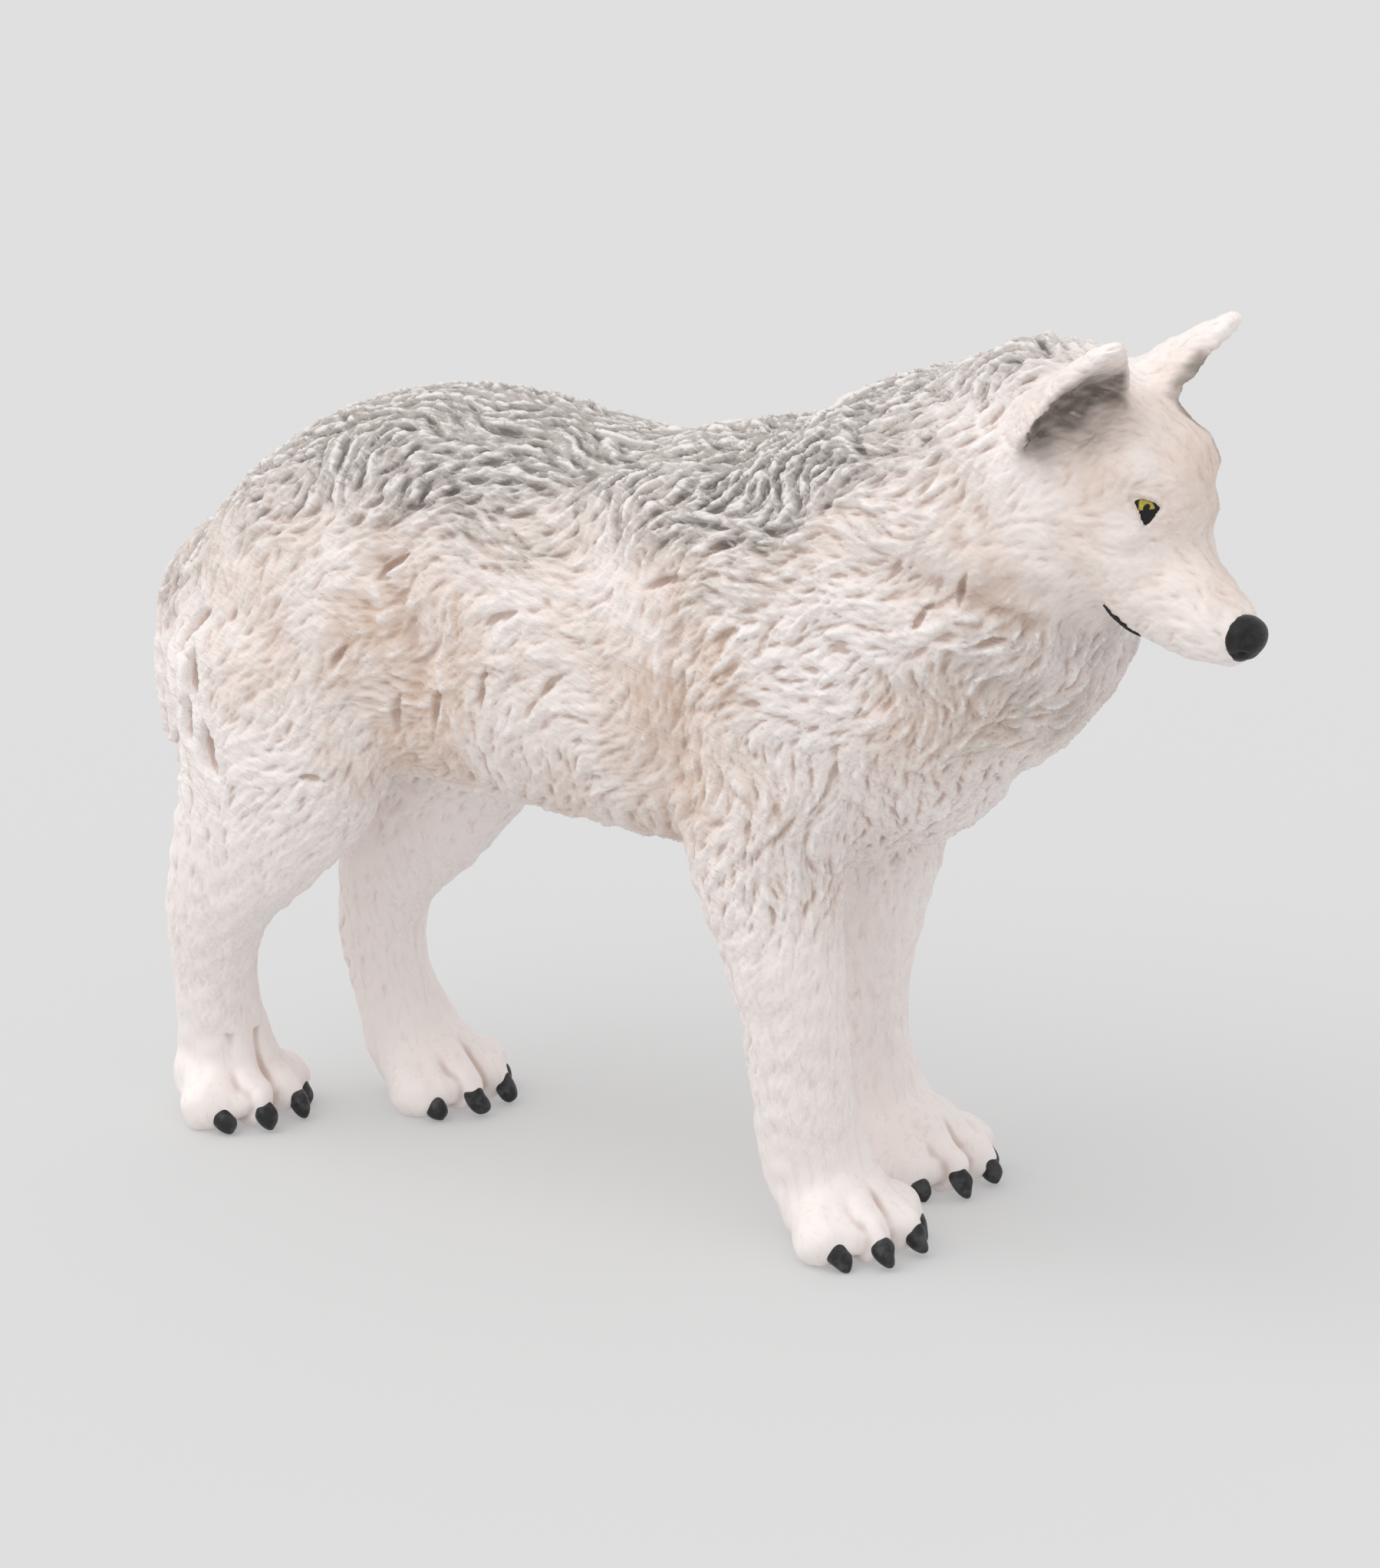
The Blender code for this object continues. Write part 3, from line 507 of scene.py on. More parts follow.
def averaged(values, edges, passes, amount=1.0):
    """Each value moved towards its neighbours' mean along the edges, several times."""
    start, end = edges
    count = len(values)
    flat = np.asarray(values, float).reshape(count, -1)
    valence = (np.bincount(start, minlength=count) + np.bincount(end, minlength=count))[:, None]
    amount = np.asarray(amount, float).reshape(-1, 1)
    for _ in range(passes):
        total = np.stack([np.bincount(start, column[end], count) + np.bincount(end, column[start], count)
                          for column in flat.T], 1)
        flat = flat + amount * (total / valence - flat)
    return flat.reshape(np.shape(values))


def near(points, centre, radius):
    """One at the centre, fading to nothing at the radius: 1 - (d / radius)^2."""
    distance = np.linalg.norm(points - centre, axis=1) / radius
    return np.clip(1 - distance ** 2, 0, 1)


def crispness(points):
    """Where small forms stay sharp: face, ears and paws."""
    places = [(from_head((8.0, 0, -4.0)), 15.0), (from_head((-1.0, 0, 9.0)), 14.0)]
    places += [(centre, 12.0) for centre, _ in paws()]
    return np.max([near(points, centre, radius) for centre, radius in places], 0)


def skin():
    """The forms fused into one even skin, smoothed least at face, ears and paws, then refined."""
    shapes = [trunk(), neck(), head(), nape(), tail()] + legs() + paw_shapes()
    shapes += [head_ridge(stations, side) for stations in HEAD_RIDGES for side in (-1, 1)]
    shapes += [ear(side) for side in (-1, 1)]
    fused = baked(joined(shapes, "forms"), "REMESH", mode="VOXEL", voxel_size=VOXEL)
    points = points_of(fused)
    softness = 1 - 0.8 * crispness(points)
    set_points(fused, averaged(points, edges_of(fused), SMOOTHING_PASSES, softness))
    return baked(fused, "SUBSURF", levels=1, render_levels=1)


# The head's carving

EYE_OUTLINE = ((-1.5, 0.1), (-0.65, 0.68), (0.22, 1.0), (1.05, 0.86), (1.14, 0.0), (0.88, -1.05),
               (-0.15, -0.55))
EYE_PLACE = (MUZZLE_REACH * 0.41, EYE_SPACING / 2, 1.15)
EYE_CREASE = ((8.6, 3.9, -0.6), (7.6, 4.6, -2.2), (5.6, 5.4, -3.4), (3.2, 6.2, -3.6))
MOUTH_LINE = ((5.9, -4.9, -8.9), (7.4, -4.8, -9.35), (9.0, -4.3, -9.7), (10.6, -3.9, -9.85))


def eye_radius(angle):
    """Distance from the eye's middle to its almond outline, at each angle."""
    closed = np.array(EYE_OUTLINE + EYE_OUTLINE[:3], float)
    curve = through(closed, 8)[8:-8]
    turn = np.arctan2(curve[:, 1], curve[:, 0])
    order = np.argsort(turn)
    return np.interp(angle, turn[order], np.linalg.norm(curve, axis=1)[order], period=2 * np.pi)


def eye_frame(points, normals, side):
    """The eye's middle on the skin, with rows forward, up and outward there."""
    place = from_head(EYE_PLACE * np.array([1, side, 1]))
    close = np.argsort(((points - place) ** 2).sum(1))[:120]
    outward = unit(normals[close].mean(0))
    forward = unit(HEAD_AXES[0] - outward * (HEAD_AXES[0] @ outward))
    upward = np.cross(outward, forward) * (1 if np.cross(outward, forward)[2] > 0 else -1)
    return points[close].mean(0), np.array([forward, upward, outward])


def eye_socket(points, normals, side):
    """Sink a wide hollow, then a flat almond with a raised lid around it.

    With r the distance over the almond's own radius, the skin is drawn to
    -0.3 mm inside r = 1 and to a lid that rises as 0.16 exp(-((r - 1.22) / 0.2)^2).
    """
    middle, axes = eye_frame(points, normals, side)
    hollow = around_place(points, middle, 5.0)
    points = points - axes[2] * (0.9 * hollow)[:, None]
    middle = middle - axes[2] * 0.9
    local = (points - middle) @ axes.T
    r = np.hypot(local[:, 0], local[:, 1]) / eye_radius(np.arctan2(local[:, 1], local[:, 0]))
    close = (np.abs(local[:, 2]) < 3) & (r < 2.4)
    target = -0.3 * (1 - smoothstep(0.9, 1.1, r)) + 0.16 * bell(r - 1.22, 0.2)
    weight = np.where(close, 1 - smoothstep(1.2, 2.2, r), 0)
    return points + axes[2] * (weight * (target - local[:, 2]))[:, None], (middle, axes)


def along_polyline(points, line):
    """Distance from each point to a polyline, and the share of its length there."""
    line = np.asarray(line, float)
    best = np.full(len(points), 1e9)
    share = np.zeros(len(points))
    pieces = len(line) - 1
    for index, (start, end) in enumerate(zip(line, line[1:])):
        t = np.clip((points - start) @ (end - start) / ((end - start) ** 2).sum(), 0, 1)
        distance = np.linalg.norm(points - start - t[:, None] * (end - start), axis=1)
        nearer = distance < best
        best = np.where(nearer, distance, best)
        share = np.where(nearer, (index + t) / pieces, share)
    return best, share


def carved_head(points, normals):
    """Eye sockets, mouth groove, the hollow and crease beside the bridge and the ridge over each eye."""
    eyes = []
    for side in (-1, 1):
        points, place = eye_socket(points, normals, side)
        eyes.append(place)
        line = from_head(through(np.array(MOUTH_LINE) * (1, -side, 1), 5))
        distance, share = along_polyline(points, line)
        depth = 0.32 * bell(distance, 0.4) * np.sin(np.pi * np.clip(share * 0.9 + 0.08, 0, 1))
        axes, root = ear_frame(-side)
        cup = from_head(root + axes[2] * 3.0 + axes[1] * 0.6)
        depth += 1.7 * around_place(points, cup, 5.5)
        depth += 0.7 * around_place(points, from_head((8.6, -side * 3.2, -1.4)), 4.0)
        depth -= 0.6 * around_place(points, from_head((4.6, -side * 4.6, 2.8)), 5.0)
        crease, share = along_polyline(points, from_head(np.array(EYE_CREASE) * (1, -side, 1)))
        depth += 0.4 * bell(crease, 0.7) * np.sin(np.pi * np.clip(share * 0.9 + 0.05, 0, 1))
        points = points - normals * depth[:, None]
    return points, eyes


# The fur

COMB = (
    ((-44, 6, 58), (-1.0, 0.1, -0.8)), ((-30, 5, 66), (-1.0, 0.2, -0.2)),
    ((-12, 5, 65), (-1.0, 0.25, -0.05)), ((6, 5, 68), (-1.0, 0.3, -0.1)), ((20, 5, 75), (-1.0, 0.3, -0.5)),
    ((32, 5, 78), (-1.0, 0.4, -0.6)), ((-24, 13, 54), (-1.0, 0, -0.5)), ((-8, 14, 50), (-1.0, 0, -0.45)),
    ((-10, 12, 37), (-0.45, 0, -1.0)), ((-36, 13, 46), (-0.5, 0, -1.0)), ((-47, 9, 42), (0.15, 0, -1.0)),
    ((-36, 10, 32), (-0.7, 0, -1.0)), ((-22, 13, 40), (-0.2, 0, -1.0)), ((6, 14, 52), (-0.7, 0, -0.8)),
    ((6, 12, 38), (-0.3, 0, -1.0)), ((14, 14, 60), (-1.0, 0.1, -0.7)), ((20, 13, 60), (-0.8, 0.1, -0.8)),
    ((24, 8, 44), (-0.3, 0, -1.0)), ((34, 6, 54), (-0.2, 0.3, -1.0)), ((30, 10, 66), (-0.9, 0.4, -0.7)),
    ((32, 9, 58), (-0.6, 0.2, -1.0)), ((44, 5, 67), (-1.0, 0.3, 0.2)), ((39, 9, 62), (-1.0, 0.3, -0.5)),
    ((42, 3, 74), (-1.0, 0.1, 0.7)), ((49, 5, 59), (-1.0, 0.2, 0.25)), ((10, 10, 15), (-0.4, 0, -1.0)),
    ((-42, 6, 15), (-0.4, 0, -1.0)), ((-54, 0, 36), (0.1, 0, -1.0)))


def on_left(points):
    """Every point brought to the wolf's left: (x, |y|, z)."""
    return points * (1, 0, 1) + np.abs(points) * (0, 1, 0)


def waves(points, length, seed):
    """Smooth noise about zero: a sum of sines that run in random directions."""
    count = 12
    chance = np.random.default_rng(seed)
    total = np.zeros(len(points))
    for _ in range(count):
        run = unit(chance.normal(size=3)) * 2 * np.pi / (length * chance.uniform(0.7, 1.5))
        total += np.sin(points @ run + chance.uniform(0, 2 * np.pi))
    return total / np.sqrt(count / 2)


def comb(points, normals):
    """Hair direction: the guides weighted by nearness, laid into the surface, then turned by waves."""
    reach = 7.0
    places = np.array([place for place, _ in COMB], float)
    ways = np.array([unit(way) for _, way in COMB])
    mirrored = on_left(points)
    distance = (mirrored ** 2).sum(1)[:, None] + (places ** 2).sum(1) - 2 * mirrored @ places.T
    weight = np.exp(-(distance - distance.min(1)[:, None]) / (2 * reach ** 2))
    way = weight @ ways
    way[:, 1] *= np.tanh(points[:, 1] / 2)
    way -= normals * (way * normals).sum(1)[:, None]
    way /= np.linalg.norm(way, axis=1)[:, None] + 1e-6
    turn = 0.42 * waves(points, 13.0, 5) + 0.24 * waves(points, 6.0, 6)
    turn *= smoothstep(20, 40, points[:, 2])
    return way * np.cos(turn)[:, None] + np.cross(normals, way) * np.sin(turn)[:, None]


def chance_in(cells, salt):
    """A steady random number from 0 to 1 for each cell: the fraction of 43758.5453 sin(n + salt)."""
    return np.abs(np.sin(cells @ (12.9898, 78.233, 37.719) + salt) * 43758.5453) % 1


def scattered(points, allowed, spacing):
    """The allowed vertex nearest to a chance point in each cell of a cubic grid, with its cell."""
    index = np.flatnonzero(allowed)
    cells = np.floor(points[index] / spacing)
    target = (cells + 0.2 + 0.6 * np.stack([chance_in(cells, salt) for salt in (1, 2, 3)], 1)) * spacing
    away = ((points[index] - target) ** 2).sum(1)
    order = np.lexsort((away, cells[:, 2], cells[:, 1], cells[:, 0]))
    first = np.append(True, (np.diff(cells[order], axis=0) != 0).any(1))
    chosen = order[first]
    return index[chosen], cells[chosen]


def close_pairs(points, centres, reach):
    """Centres and the vertices in the 27 grid cells about them, cell by cell."""
    low = points.min(0) - 2 * reach
    cells = np.floor((points - low) / reach).astype(np.int64)
    size = cells.max(0) + 3
    key = (cells[:, 0] * size[1] + cells[:, 1]) * size[2] + cells[:, 2]
    order = np.argsort(key, kind="stable")
    key = key[order]
    home = np.floor((centres - low) / reach).astype(np.int64)
    for step in np.ndindex(3, 3, 3):
        at = home + np.array(step) - 1
        wanted = (at[:, 0] * size[1] + at[:, 1]) * size[2] + at[:, 2]
        first = np.searchsorted(key, wanted, "left")
        count = np.searchsorted(key, wanted, "right") - first
        owner = np.repeat(np.arange(len(centres)), count)
        place = np.arange(count.sum()) - np.repeat(np.cumsum(count) - count, count)
        yield owner, order[first[owner] + place]


def brushed(surface, allowed, spacing, length, width, profile, salt=0, twist=0.0):
    """Highest stroke at each vertex: strokes are curved leaves laid along the comb.

    Along a leaf `a` runs from 0 at its root to 1 at its end, and `b` is the
    distance from its middle line over its half width there, which goes as
    sin(pi a^0.6). The middle line bends with the comb: y = bend x^2 / 2.
    Each stroke is turned from the comb by a chance angle up to `twist`.
    """
    points, normals = surface
    seeds, cells = scattered(points, allowed, spacing)
    centres, up = points[seeds], normals[seeds]
    way = comb(centres, up)
    turn = twist * (2 * chance_in(cells, 7 + salt) - 1)[:, None]
    way = way * np.cos(turn) + np.cross(up, way) * np.sin(turn)
    across = np.cross(up, way)
    step = way * 1.5
    turning = comb(centres + step, up) - comb(centres - step, up)
    bend = np.clip((turning * across).sum(1) / 3.0, -0.3, 0.3)
    long = length * (0.7 + 0.3 * chance_in(cells, 4 + salt))
    wide = width * (0.7 + 0.3 * chance_in(cells, 5 + salt)) / 2
    strong = 0.65 + 0.35 * chance_in(cells, 6 + salt)
    total = np.zeros(len(points))
    for owner, vertex in close_pairs(points, centres, length / 2):
        offset = points[vertex] - centres[owner]
        x = (offset * way[owner]).sum(1)
        a = x / long[owner] + 0.5
        inside = (a > 0) & (a < 1)
        owner, vertex, offset, x, a = owner[inside], vertex[inside], offset[inside], x[inside], a[inside]
        y = (offset * across[owner]).sum(1) - bend[owner] * x * x / 2
        b = y / (wide[owner] * np.sin(np.pi * a ** 0.6) + 1e-6)
        level = (normals[vertex] * up[owner]).sum(1)
        inside = (np.abs(b) < 1) & (level > 0.3)
        owner, vertex, a, b = owner[inside], vertex[inside], a[inside], b[inside]
        np.maximum.at(total, vertex, profile(a, b) * strong[owner])
    return total


def lock(a, b):
    """A lock rises from its root and falls at its end: (0.15 + 0.85 a) (1 - b^2)^0.75, eased over a > 0.8."""
    return (0.15 + 0.85 * a) * (1 - b * b) ** 0.75 * smoothstep(0, 0.2, 1 - a)


def strand(a, b):
    """A strand is a crested ridge: (1 - |b|)^1.2 sin(pi a)^0.5."""
    return (1 - np.abs(b)) ** 1.2 * np.sqrt(np.sin(np.pi * a))


def pit(a, b):
    """A pit is deepest near its upper end: (1 - b^2) sin(pi a^1.5)^0.7."""
    return (1 - b * b) * np.sin(np.pi * a ** 1.5) ** 0.7


# Layers of strokes: spacing, length, width, profile, salt of its chance, and its most turn from the comb
LOCKS = (LOCK_SPACING, LOCK_LENGTH, LOCK_WIDTH, lock)
TUFTS = (1.25, 4.6, 1.35, lock, 10, 0.5)
STRANDS = (0.75, 4.0, 0.75, strand, 20, 0.35)
LONG_STRANDS = (1.1, 6.5, 0.85, strand, 30, 0.45)
PITS = (2.3, 4.2, 1.2, pit, 40, 0.5)
LEG_DENTS = (2.5, 4.2, 1.0, pit, 50, 0.3)
FACE_DIMPLES = (1.9, 3.2, 0.95, pit, 60, 0.6)


def saddle_edge(x):
    """Height of the grey saddle's lower edge along the body."""
    return np.interp(x, (-52, -46, -40, -32, -23, -14, -8, 0, 5, 11, 15, 18, 22, 27, 34),
                     (49, 53, 57, 59, 60, 59.5, 60.5, 61, 59.5, 60.5, 65, 69, 72.5, 75, 79))


def zones(points):
    """How much of each kind of coat a place has, from nothing to one."""
    x, _, z = points.T
    ahead, _, up = to_head(points).T
    face = smoothstep(-8.0, -1.0, ahead) * smoothstep(-13.2, -10.6, up)
    ears = np.max([near(points, from_head((-1.2, side * 6.0, 7.5)), 8.5) for side in (-1, 1)], 0)
    bare = np.maximum(face, smoothstep(0.1, 0.5, ears))
    paw = 1 - smoothstep(6.0, 12.0, z)
    leg = 1 - smoothstep(22, BELLY_HEIGHT + 0.8, z)
    mane = smoothstep(-1.0, 7.0, x + 0.15 * (z - 60)) * (1 - bare) * (1 - leg)
    tail_part = smoothstep(-43.0, -46.0, x) * smoothstep(25, 31, z) * (1 - smoothstep(50, 55, z))
    thigh = smoothstep(-24, -32, x) * (1 - smoothstep(50, 58, z)) * (1 - leg) * (1 - tail_part)
    fringe = smoothstep(46, 38, z) * smoothstep(-30, -24, x) * (1 - smoothstep(0, 6, x))
    ragged = 0.8 * waves(points, 7.0, 21) + 0.6 * waves(points, 2.4, 22)
    saddle = smoothstep(-5.5, 5.5, z - saddle_edge(x) + ragged) * (1 - bare)
    back = smoothstep(54, 62, z)
    return {"bare": bare, "paw": paw, "leg": leg, "saddle": saddle, "mane": mane, "tail": tail_part,
            "thigh": thigh, "fringe": fringe, "back": back}


# Single deep hollows of the carving: place on the right side, way, length, width, depth
HOLLOWS = (
    ((-24.6, -13.4, 55.2), (-1.0, 0, -0.9), 4.2, 1.1, 1.0),
    ((-24.6, -12.4, 42.0), (-0.25, 0, -1.0), 5.0, 1.2, 0.6),
    ((-20.6, -13.0, 43.0), (-0.25, 0, -1.0), 5.0, 1.1, 0.7),
    ((-15.5, -14.0, 46.0), (-0.2, 0, -1.0), 5.0, 1.0, 0.6),
    ((-8.5, -14.2, 47.5), (-0.8, 0, -0.8), 4.0, 1.3, 0.7),
    ((-13.5, -13.8, 52.5), (-1.0, 0, -0.5), 4.4, 1.4, 0.7),
    ((-45.6, -11.4, 46.4), (-0.6, 0, -1.0), 6.0, 2.6, 1.7),
    ((-44.3, -13.0, 42.4), (0.15, 0, -1.0), 5.6, 2.8, 1.8),
    ((-44.9, -12.6, 38.6), (0.1, 0, -1.0), 5.2, 2.4, 1.6),
    ((-42.4, -13.6, 36.6), (0.3, 0, -1.0), 5.6, 3.0, 1.8),
    ((6.5, -12.0, 61.0), (-1.0, 0, -0.6), 5.0, 1.8, 0.9),
    ((1.5, -14.0, 57.8), (-1.0, 0, -0.4), 4.5, 1.5, 0.7),
    ((8.0, -14.0, 54.5), (-1.0, 0, -0.7), 4.0, 1.3, 0.6),
    ((27.5, -11.5, 60.0), (-0.2, 0, -1.0), 3.8, 1.0, 0.8),
    ((24.5, -12.5, 57.5), (-0.6, 0, -0.9), 3.6, 1.1, 0.7),
    ((29.5, -11.0, 55.8), (-1.0, 0, -0.1), 5.0, 1.3, 0.7),
    ((-33.0, -12.0, 35.5), (-1.0, 0, 0.1), 3.5, 1.0, 0.5),
    ((-29.5, -12.6, 46.5), (-0.7, 0, -1.0), 3.6, 1.2, 0.5))


def hollows(surface):
    """Depth of the single hollows on both sides: leaves as in `brushed`, ragged, deepest in the middle."""
    points, normals = surface
    depth = np.zeros(len(points))
    ragged = 0.06 * waves(points, 2.4, 72)
    for place, way, length, width, deep in HOLLOWS:
        for side in (1, -1):
            centre = np.array(place) * (1, side, 1)
            nearest = np.argmin(((points - centre) ** 2).sum(1))
            up = normals[nearest]
            along = unit(np.array(way) - up * (up @ way))
            offset = points - points[nearest]
            x, y = offset @ along, offset @ np.cross(up, along)
            a = np.clip(x / length + 0.5, 0, 1)
            b = (y - 0.06 * x * x + ragged) / (0.38 * width * np.sin(np.pi * a) ** 0.9 + 1e-6)
            facing = (normals @ up > 0.2) & (np.abs(offset @ up) < 3)
            depth = np.maximum(depth, deep * np.clip(1 - b * b, 0, 1) * np.sin(np.pi * a) * facing)
    return depth


def fur(points, normals):
    """Height of the coat over the skin in its layers of strokes, with its folds, furrows and hollows."""
    surface = (points, normals)
    zone = zones(points)
    free = (1 - 0.3 * zone["bare"]) * (1 - zone["paw"])
    body = (1 - zone["bare"]) * (1 - zone["leg"])
    share = 0.6 + 0.25 * zone["mane"] + 0.1 * zone["back"] + 0.2 * zone["fringe"] + 0.7 * zone["tail"]
    strong = share * (1 - 0.5 * zone["thigh"]) * body
    locks = brushed(surface, strong > 0.1, *LOCKS) - 0.3
    height = locks * strong * LOCK_HEIGHT * 0.6
    tufts = brushed(surface, body > 0.1, *TUFTS) - 0.3
    height += tufts * (0.17 + 0.16 * zone["mane"] + 0.36 * zone["saddle"]) * (1 - 0.4 * zone["thigh"]) * body
    strands = brushed(surface, free > 0.05, *STRANDS) - 0.25
    over = brushed(surface, free > 0.05, *LONG_STRANDS) - 0.2
    fine = (0.22 + 0.07 * zone["mane"] + 0.14 * zone["saddle"]) * (1 - 0.45 * zone["leg"]) * free
    height += (strands + 0.9 * over) * fine
    dense = np.maximum(zone["saddle"], 0.3 * zone["mane"])
    pits = brushed(surface, body > 0.2, *PITS)
    height -= pits * (0.24 + 0.42 * dense) * body
    rear = 0.03 + 0.8 * smoothstep(0.0, -0.7, normals[:, 0])
    dents = brushed(surface, zone["leg"] * free > 0.1, *LEG_DENTS)
    height -= dents * 0.36 * rear * zone["leg"] * free
    dimples = brushed(surface, zone["bare"] > 0.2, *FACE_DIMPLES)
    height -= dimples * 0.15 * zone["bare"] * smoothstep(1.5, 3.0, np.abs(to_head(points)[:, 0] - 6.6))
    soft = np.maximum(zone["leg"], zone["bare"])
    height += 0.07 * waves(points, 4.5, 61) * soft + 0.05 * waves(points, 1.9, 62) - clefts(points)
    return height - hollows(surface) - folds(points), zone


# Broad folds of the body on the right side: path, width, and depth (below nothing for a swelling)
FOLDS = (
    (((-23.5, -12.6, 58.5), (-24.6, -13.4, 54.4), (-21.2, -13.7, 48.0), (-23.6, -12.8, 41.0)), 1.9, 1.0),
    (((-28.0, -12.6, 57.0), (-29.5, -13.0, 50.0), (-29.0, -12.8, 42.0)), 4.0, -0.5),
    (((1.5, -13.0, 59.5), (3.4, -14.6, 54.0), (4.2, -15.2, 48.8), (2.6, -14.0, 40.0)), 2.0, 0.9),
    (((8.5, -14.0, 58.0), (10.0, -15.0, 50.0), (9.5, -14.5, 42.0)), 4.0, -0.5),
    (((5.0, -6.0, 68.0), (4.4, -9.0, 65.0), (5.5, -11.5, 61.5)), 1.5, 0.8),
    (((8.0, -5.0, 69.5), (8.0, -10.0, 65.5)), 2.4, -0.5),
    (((20.0, -12.8, 61.5), (26.0, -12.0, 60.0), (30.2, -11.0, 58.3), (34.5, -7.0, 57.0)), 1.5, 1.5),
    (((21.0, -12.5, 65.0), (27.0, -11.5, 63.5), (31.5, -9.5, 62.0)), 2.6, -0.6),
    (((14.0, -14.0, 57.0), (20.0, -13.0, 52.0), (28.0, -10.0, 48.5)), 1.6, 0.6),
    (((25.0, -12.0, 71.0), (28.0, -11.5, 66.0), (30.0, -11.0, 61.0)), 1.6, 0.6),
    (((-14.0, -14.5, 56.0), (-10.0, -14.5, 48.0)), 5.0, -0.4),
    (((9.0, -14.0, 39.0), (13.0, -12.5, 37.0)), 2.0, 0.5))


def folds(points):
    """Depth of the broad folds on both sides: depth exp(-(distance / width)^2), faded at both ends."""
    mirrored = on_left(points) * (1, -1, 1)
    ragged = 0.5 * waves(points, 5.0, 71)
    total = np.zeros(len(points))
    for path, width, depth in FOLDS:
        distance, share = along_polyline(mirrored, path)
        ends = np.sin(np.pi * np.clip(share * 0.86 + 0.07, 0, 1)) ** 0.6
        total += depth * bell(distance + ragged, width) * ends
    return total


def clefts(points):
    """Depth of the furrows between the toes: 0.6 exp(-(away / 0.6)^2), closing up towards the ankle."""
    depth = np.zeros(len(points))
    for centre, axes in paws():
        ahead, left, up = ((points - centre) @ axes.T).T
        near_paw = (np.abs(left) < PAW_WIDTH * 0.6) & (np.abs(ahead) < PAW_LENGTH) & (up < PAW_HEIGHT * 1.2)
        spread = 0.7 + 0.3 * np.clip(ahead / 4.0, 0, 1)
        for line in (-0.285, 0.0, 0.285):
            away = left - line * PAW_WIDTH * spread
            furrow = 0.6 * bell(away, 0.6) * smoothstep(1.4, 4.2, ahead) * near_paw
            depth = np.maximum(depth, furrow)
    return depth


# Soft spots of paint on the left side, and so on the right: place, reach, strength
TAN_SPOTS = (
    ((-24, 13.5, 47), 10, 0.9), ((-24.5, 12.5, 54), 6, 0.6), ((-24, 12, 40), 8, 0.8),
    ((-37, 13, 47), 8, 0.45), ((-40, 11.5, 53), 7, 0.5), ((3, 14.5, 50), 7.5, 0.9),
    ((3, 14, 43), 8, 0.8), ((2, 14, 57), 6, 0.55), ((-12, 12, 36), 8, 0.35), ((1, 9, 33), 8, 0.6),
    ((14, 14, 38), 6, 0.3), ((25, 12, 64), 8, 0.35), ((30, 11, 58.5), 5, 0.6), ((27, 11, 47), 8, 0.6),
    ((31, 11, 60), 5, 0.55), ((33, 4, 47), 6, 0.4), ((44, 2.4, 70.5), 8, 0.8), ((47, 4, 64), 7, 0.5),
    ((-52, 0, 50), 7, 0.5), ((18, 9, 34), 7, 0.3), ((38, 9, 63), 8, 0.35), ((38, 7, 72), 8, 0.5),
    ((-44, 11, 52), 7, 0.45), ((-30, 12.5, 50), 7, 0.5), ((-8, 13, 52), 9, 0.3))
GREY_SPOTS = (
    ((31, 9.5, 53.5), 7, 0.28), ((34, 5, 52), 7, 0.26), ((28, 11, 50), 6, 0.16), ((31, 10.5, 58), 4, 0.2),
    ((13, 14, 36.5), 5, 0.12), ((20, 12, 66), 7, 0.1), ((36, 6, 75), 5, 0.1))


def spotted(points, spots, spread):
    """The strongest of the spots at each place, each fading out at its reach times `spread`."""
    mirrored = on_left(points)
    return np.max([strength * near(mirrored, place, reach * spread) for place, reach, strength in spots], 0)


def wash(points):
    """The tan paint: a band below the saddle, and soft spots from brow to tail."""
    rim = 1.1 + 0.3 * waves(points, 8.0, 31)
    below = points[:, 2] - saddle_edge(points[:, 0]) + 2.5
    band = 0.42 * bell(below, 4.0) * smoothstep(24, 12, points[:, 0])
    return np.clip(np.maximum(band, spotted(points, TAN_SPOTS, 1.25)) * rim, 0, 1)


def ear_hollow(points, normals, side):
    """One inside the cup of an ear where the skin faces the opening, its paint deepened as painted shade, and
    on the left ear's front edge, a strip of painted shade.
    """
    axes, root = ear_frame(side)
    across, opening, upward = ((to_head(points) - root) @ axes.T).T
    share = upward / EAR_LENGTH
    facing = (normals @ HEAD_AXES.T) @ axes[1]
    taper = np.interp(share, (-0.1, 0.1, 0.3, 0.5, 0.7, 0.88), (0.9, 1.0, 0.95, 0.78, 0.54, 0.3))
    inside = 1 - smoothstep(0.75, 1.0, np.abs(across) / (EAR_HALF_WIDTH * taper))
    ahead = 1 - smoothstep(1.0, 3.4, opening + 0.9 * waves(points, 1.3, 34))
    lengthways = smoothstep(-0.1, 0.06, share) * (1 - smoothstep(0.55, 0.84, share))
    hollow = smoothstep(-0.05, 0.42, facing) * inside * ahead * lengthways
    edge = smoothstep(0.62, 0.84, -side * across / (EAR_HALF_WIDTH * taper) + 0.07 * waves(points, 1.5, 36))
    edge *= smoothstep(-1.6, -0.6, opening) * (1 - smoothstep(3.4, 5.0, np.abs(across)))
    edge *= smoothstep(0.06, 0.16, share) * (1 - smoothstep(0.66, 0.78, share))
    return np.maximum(hollow, 0.9 * edge * (side > 0))


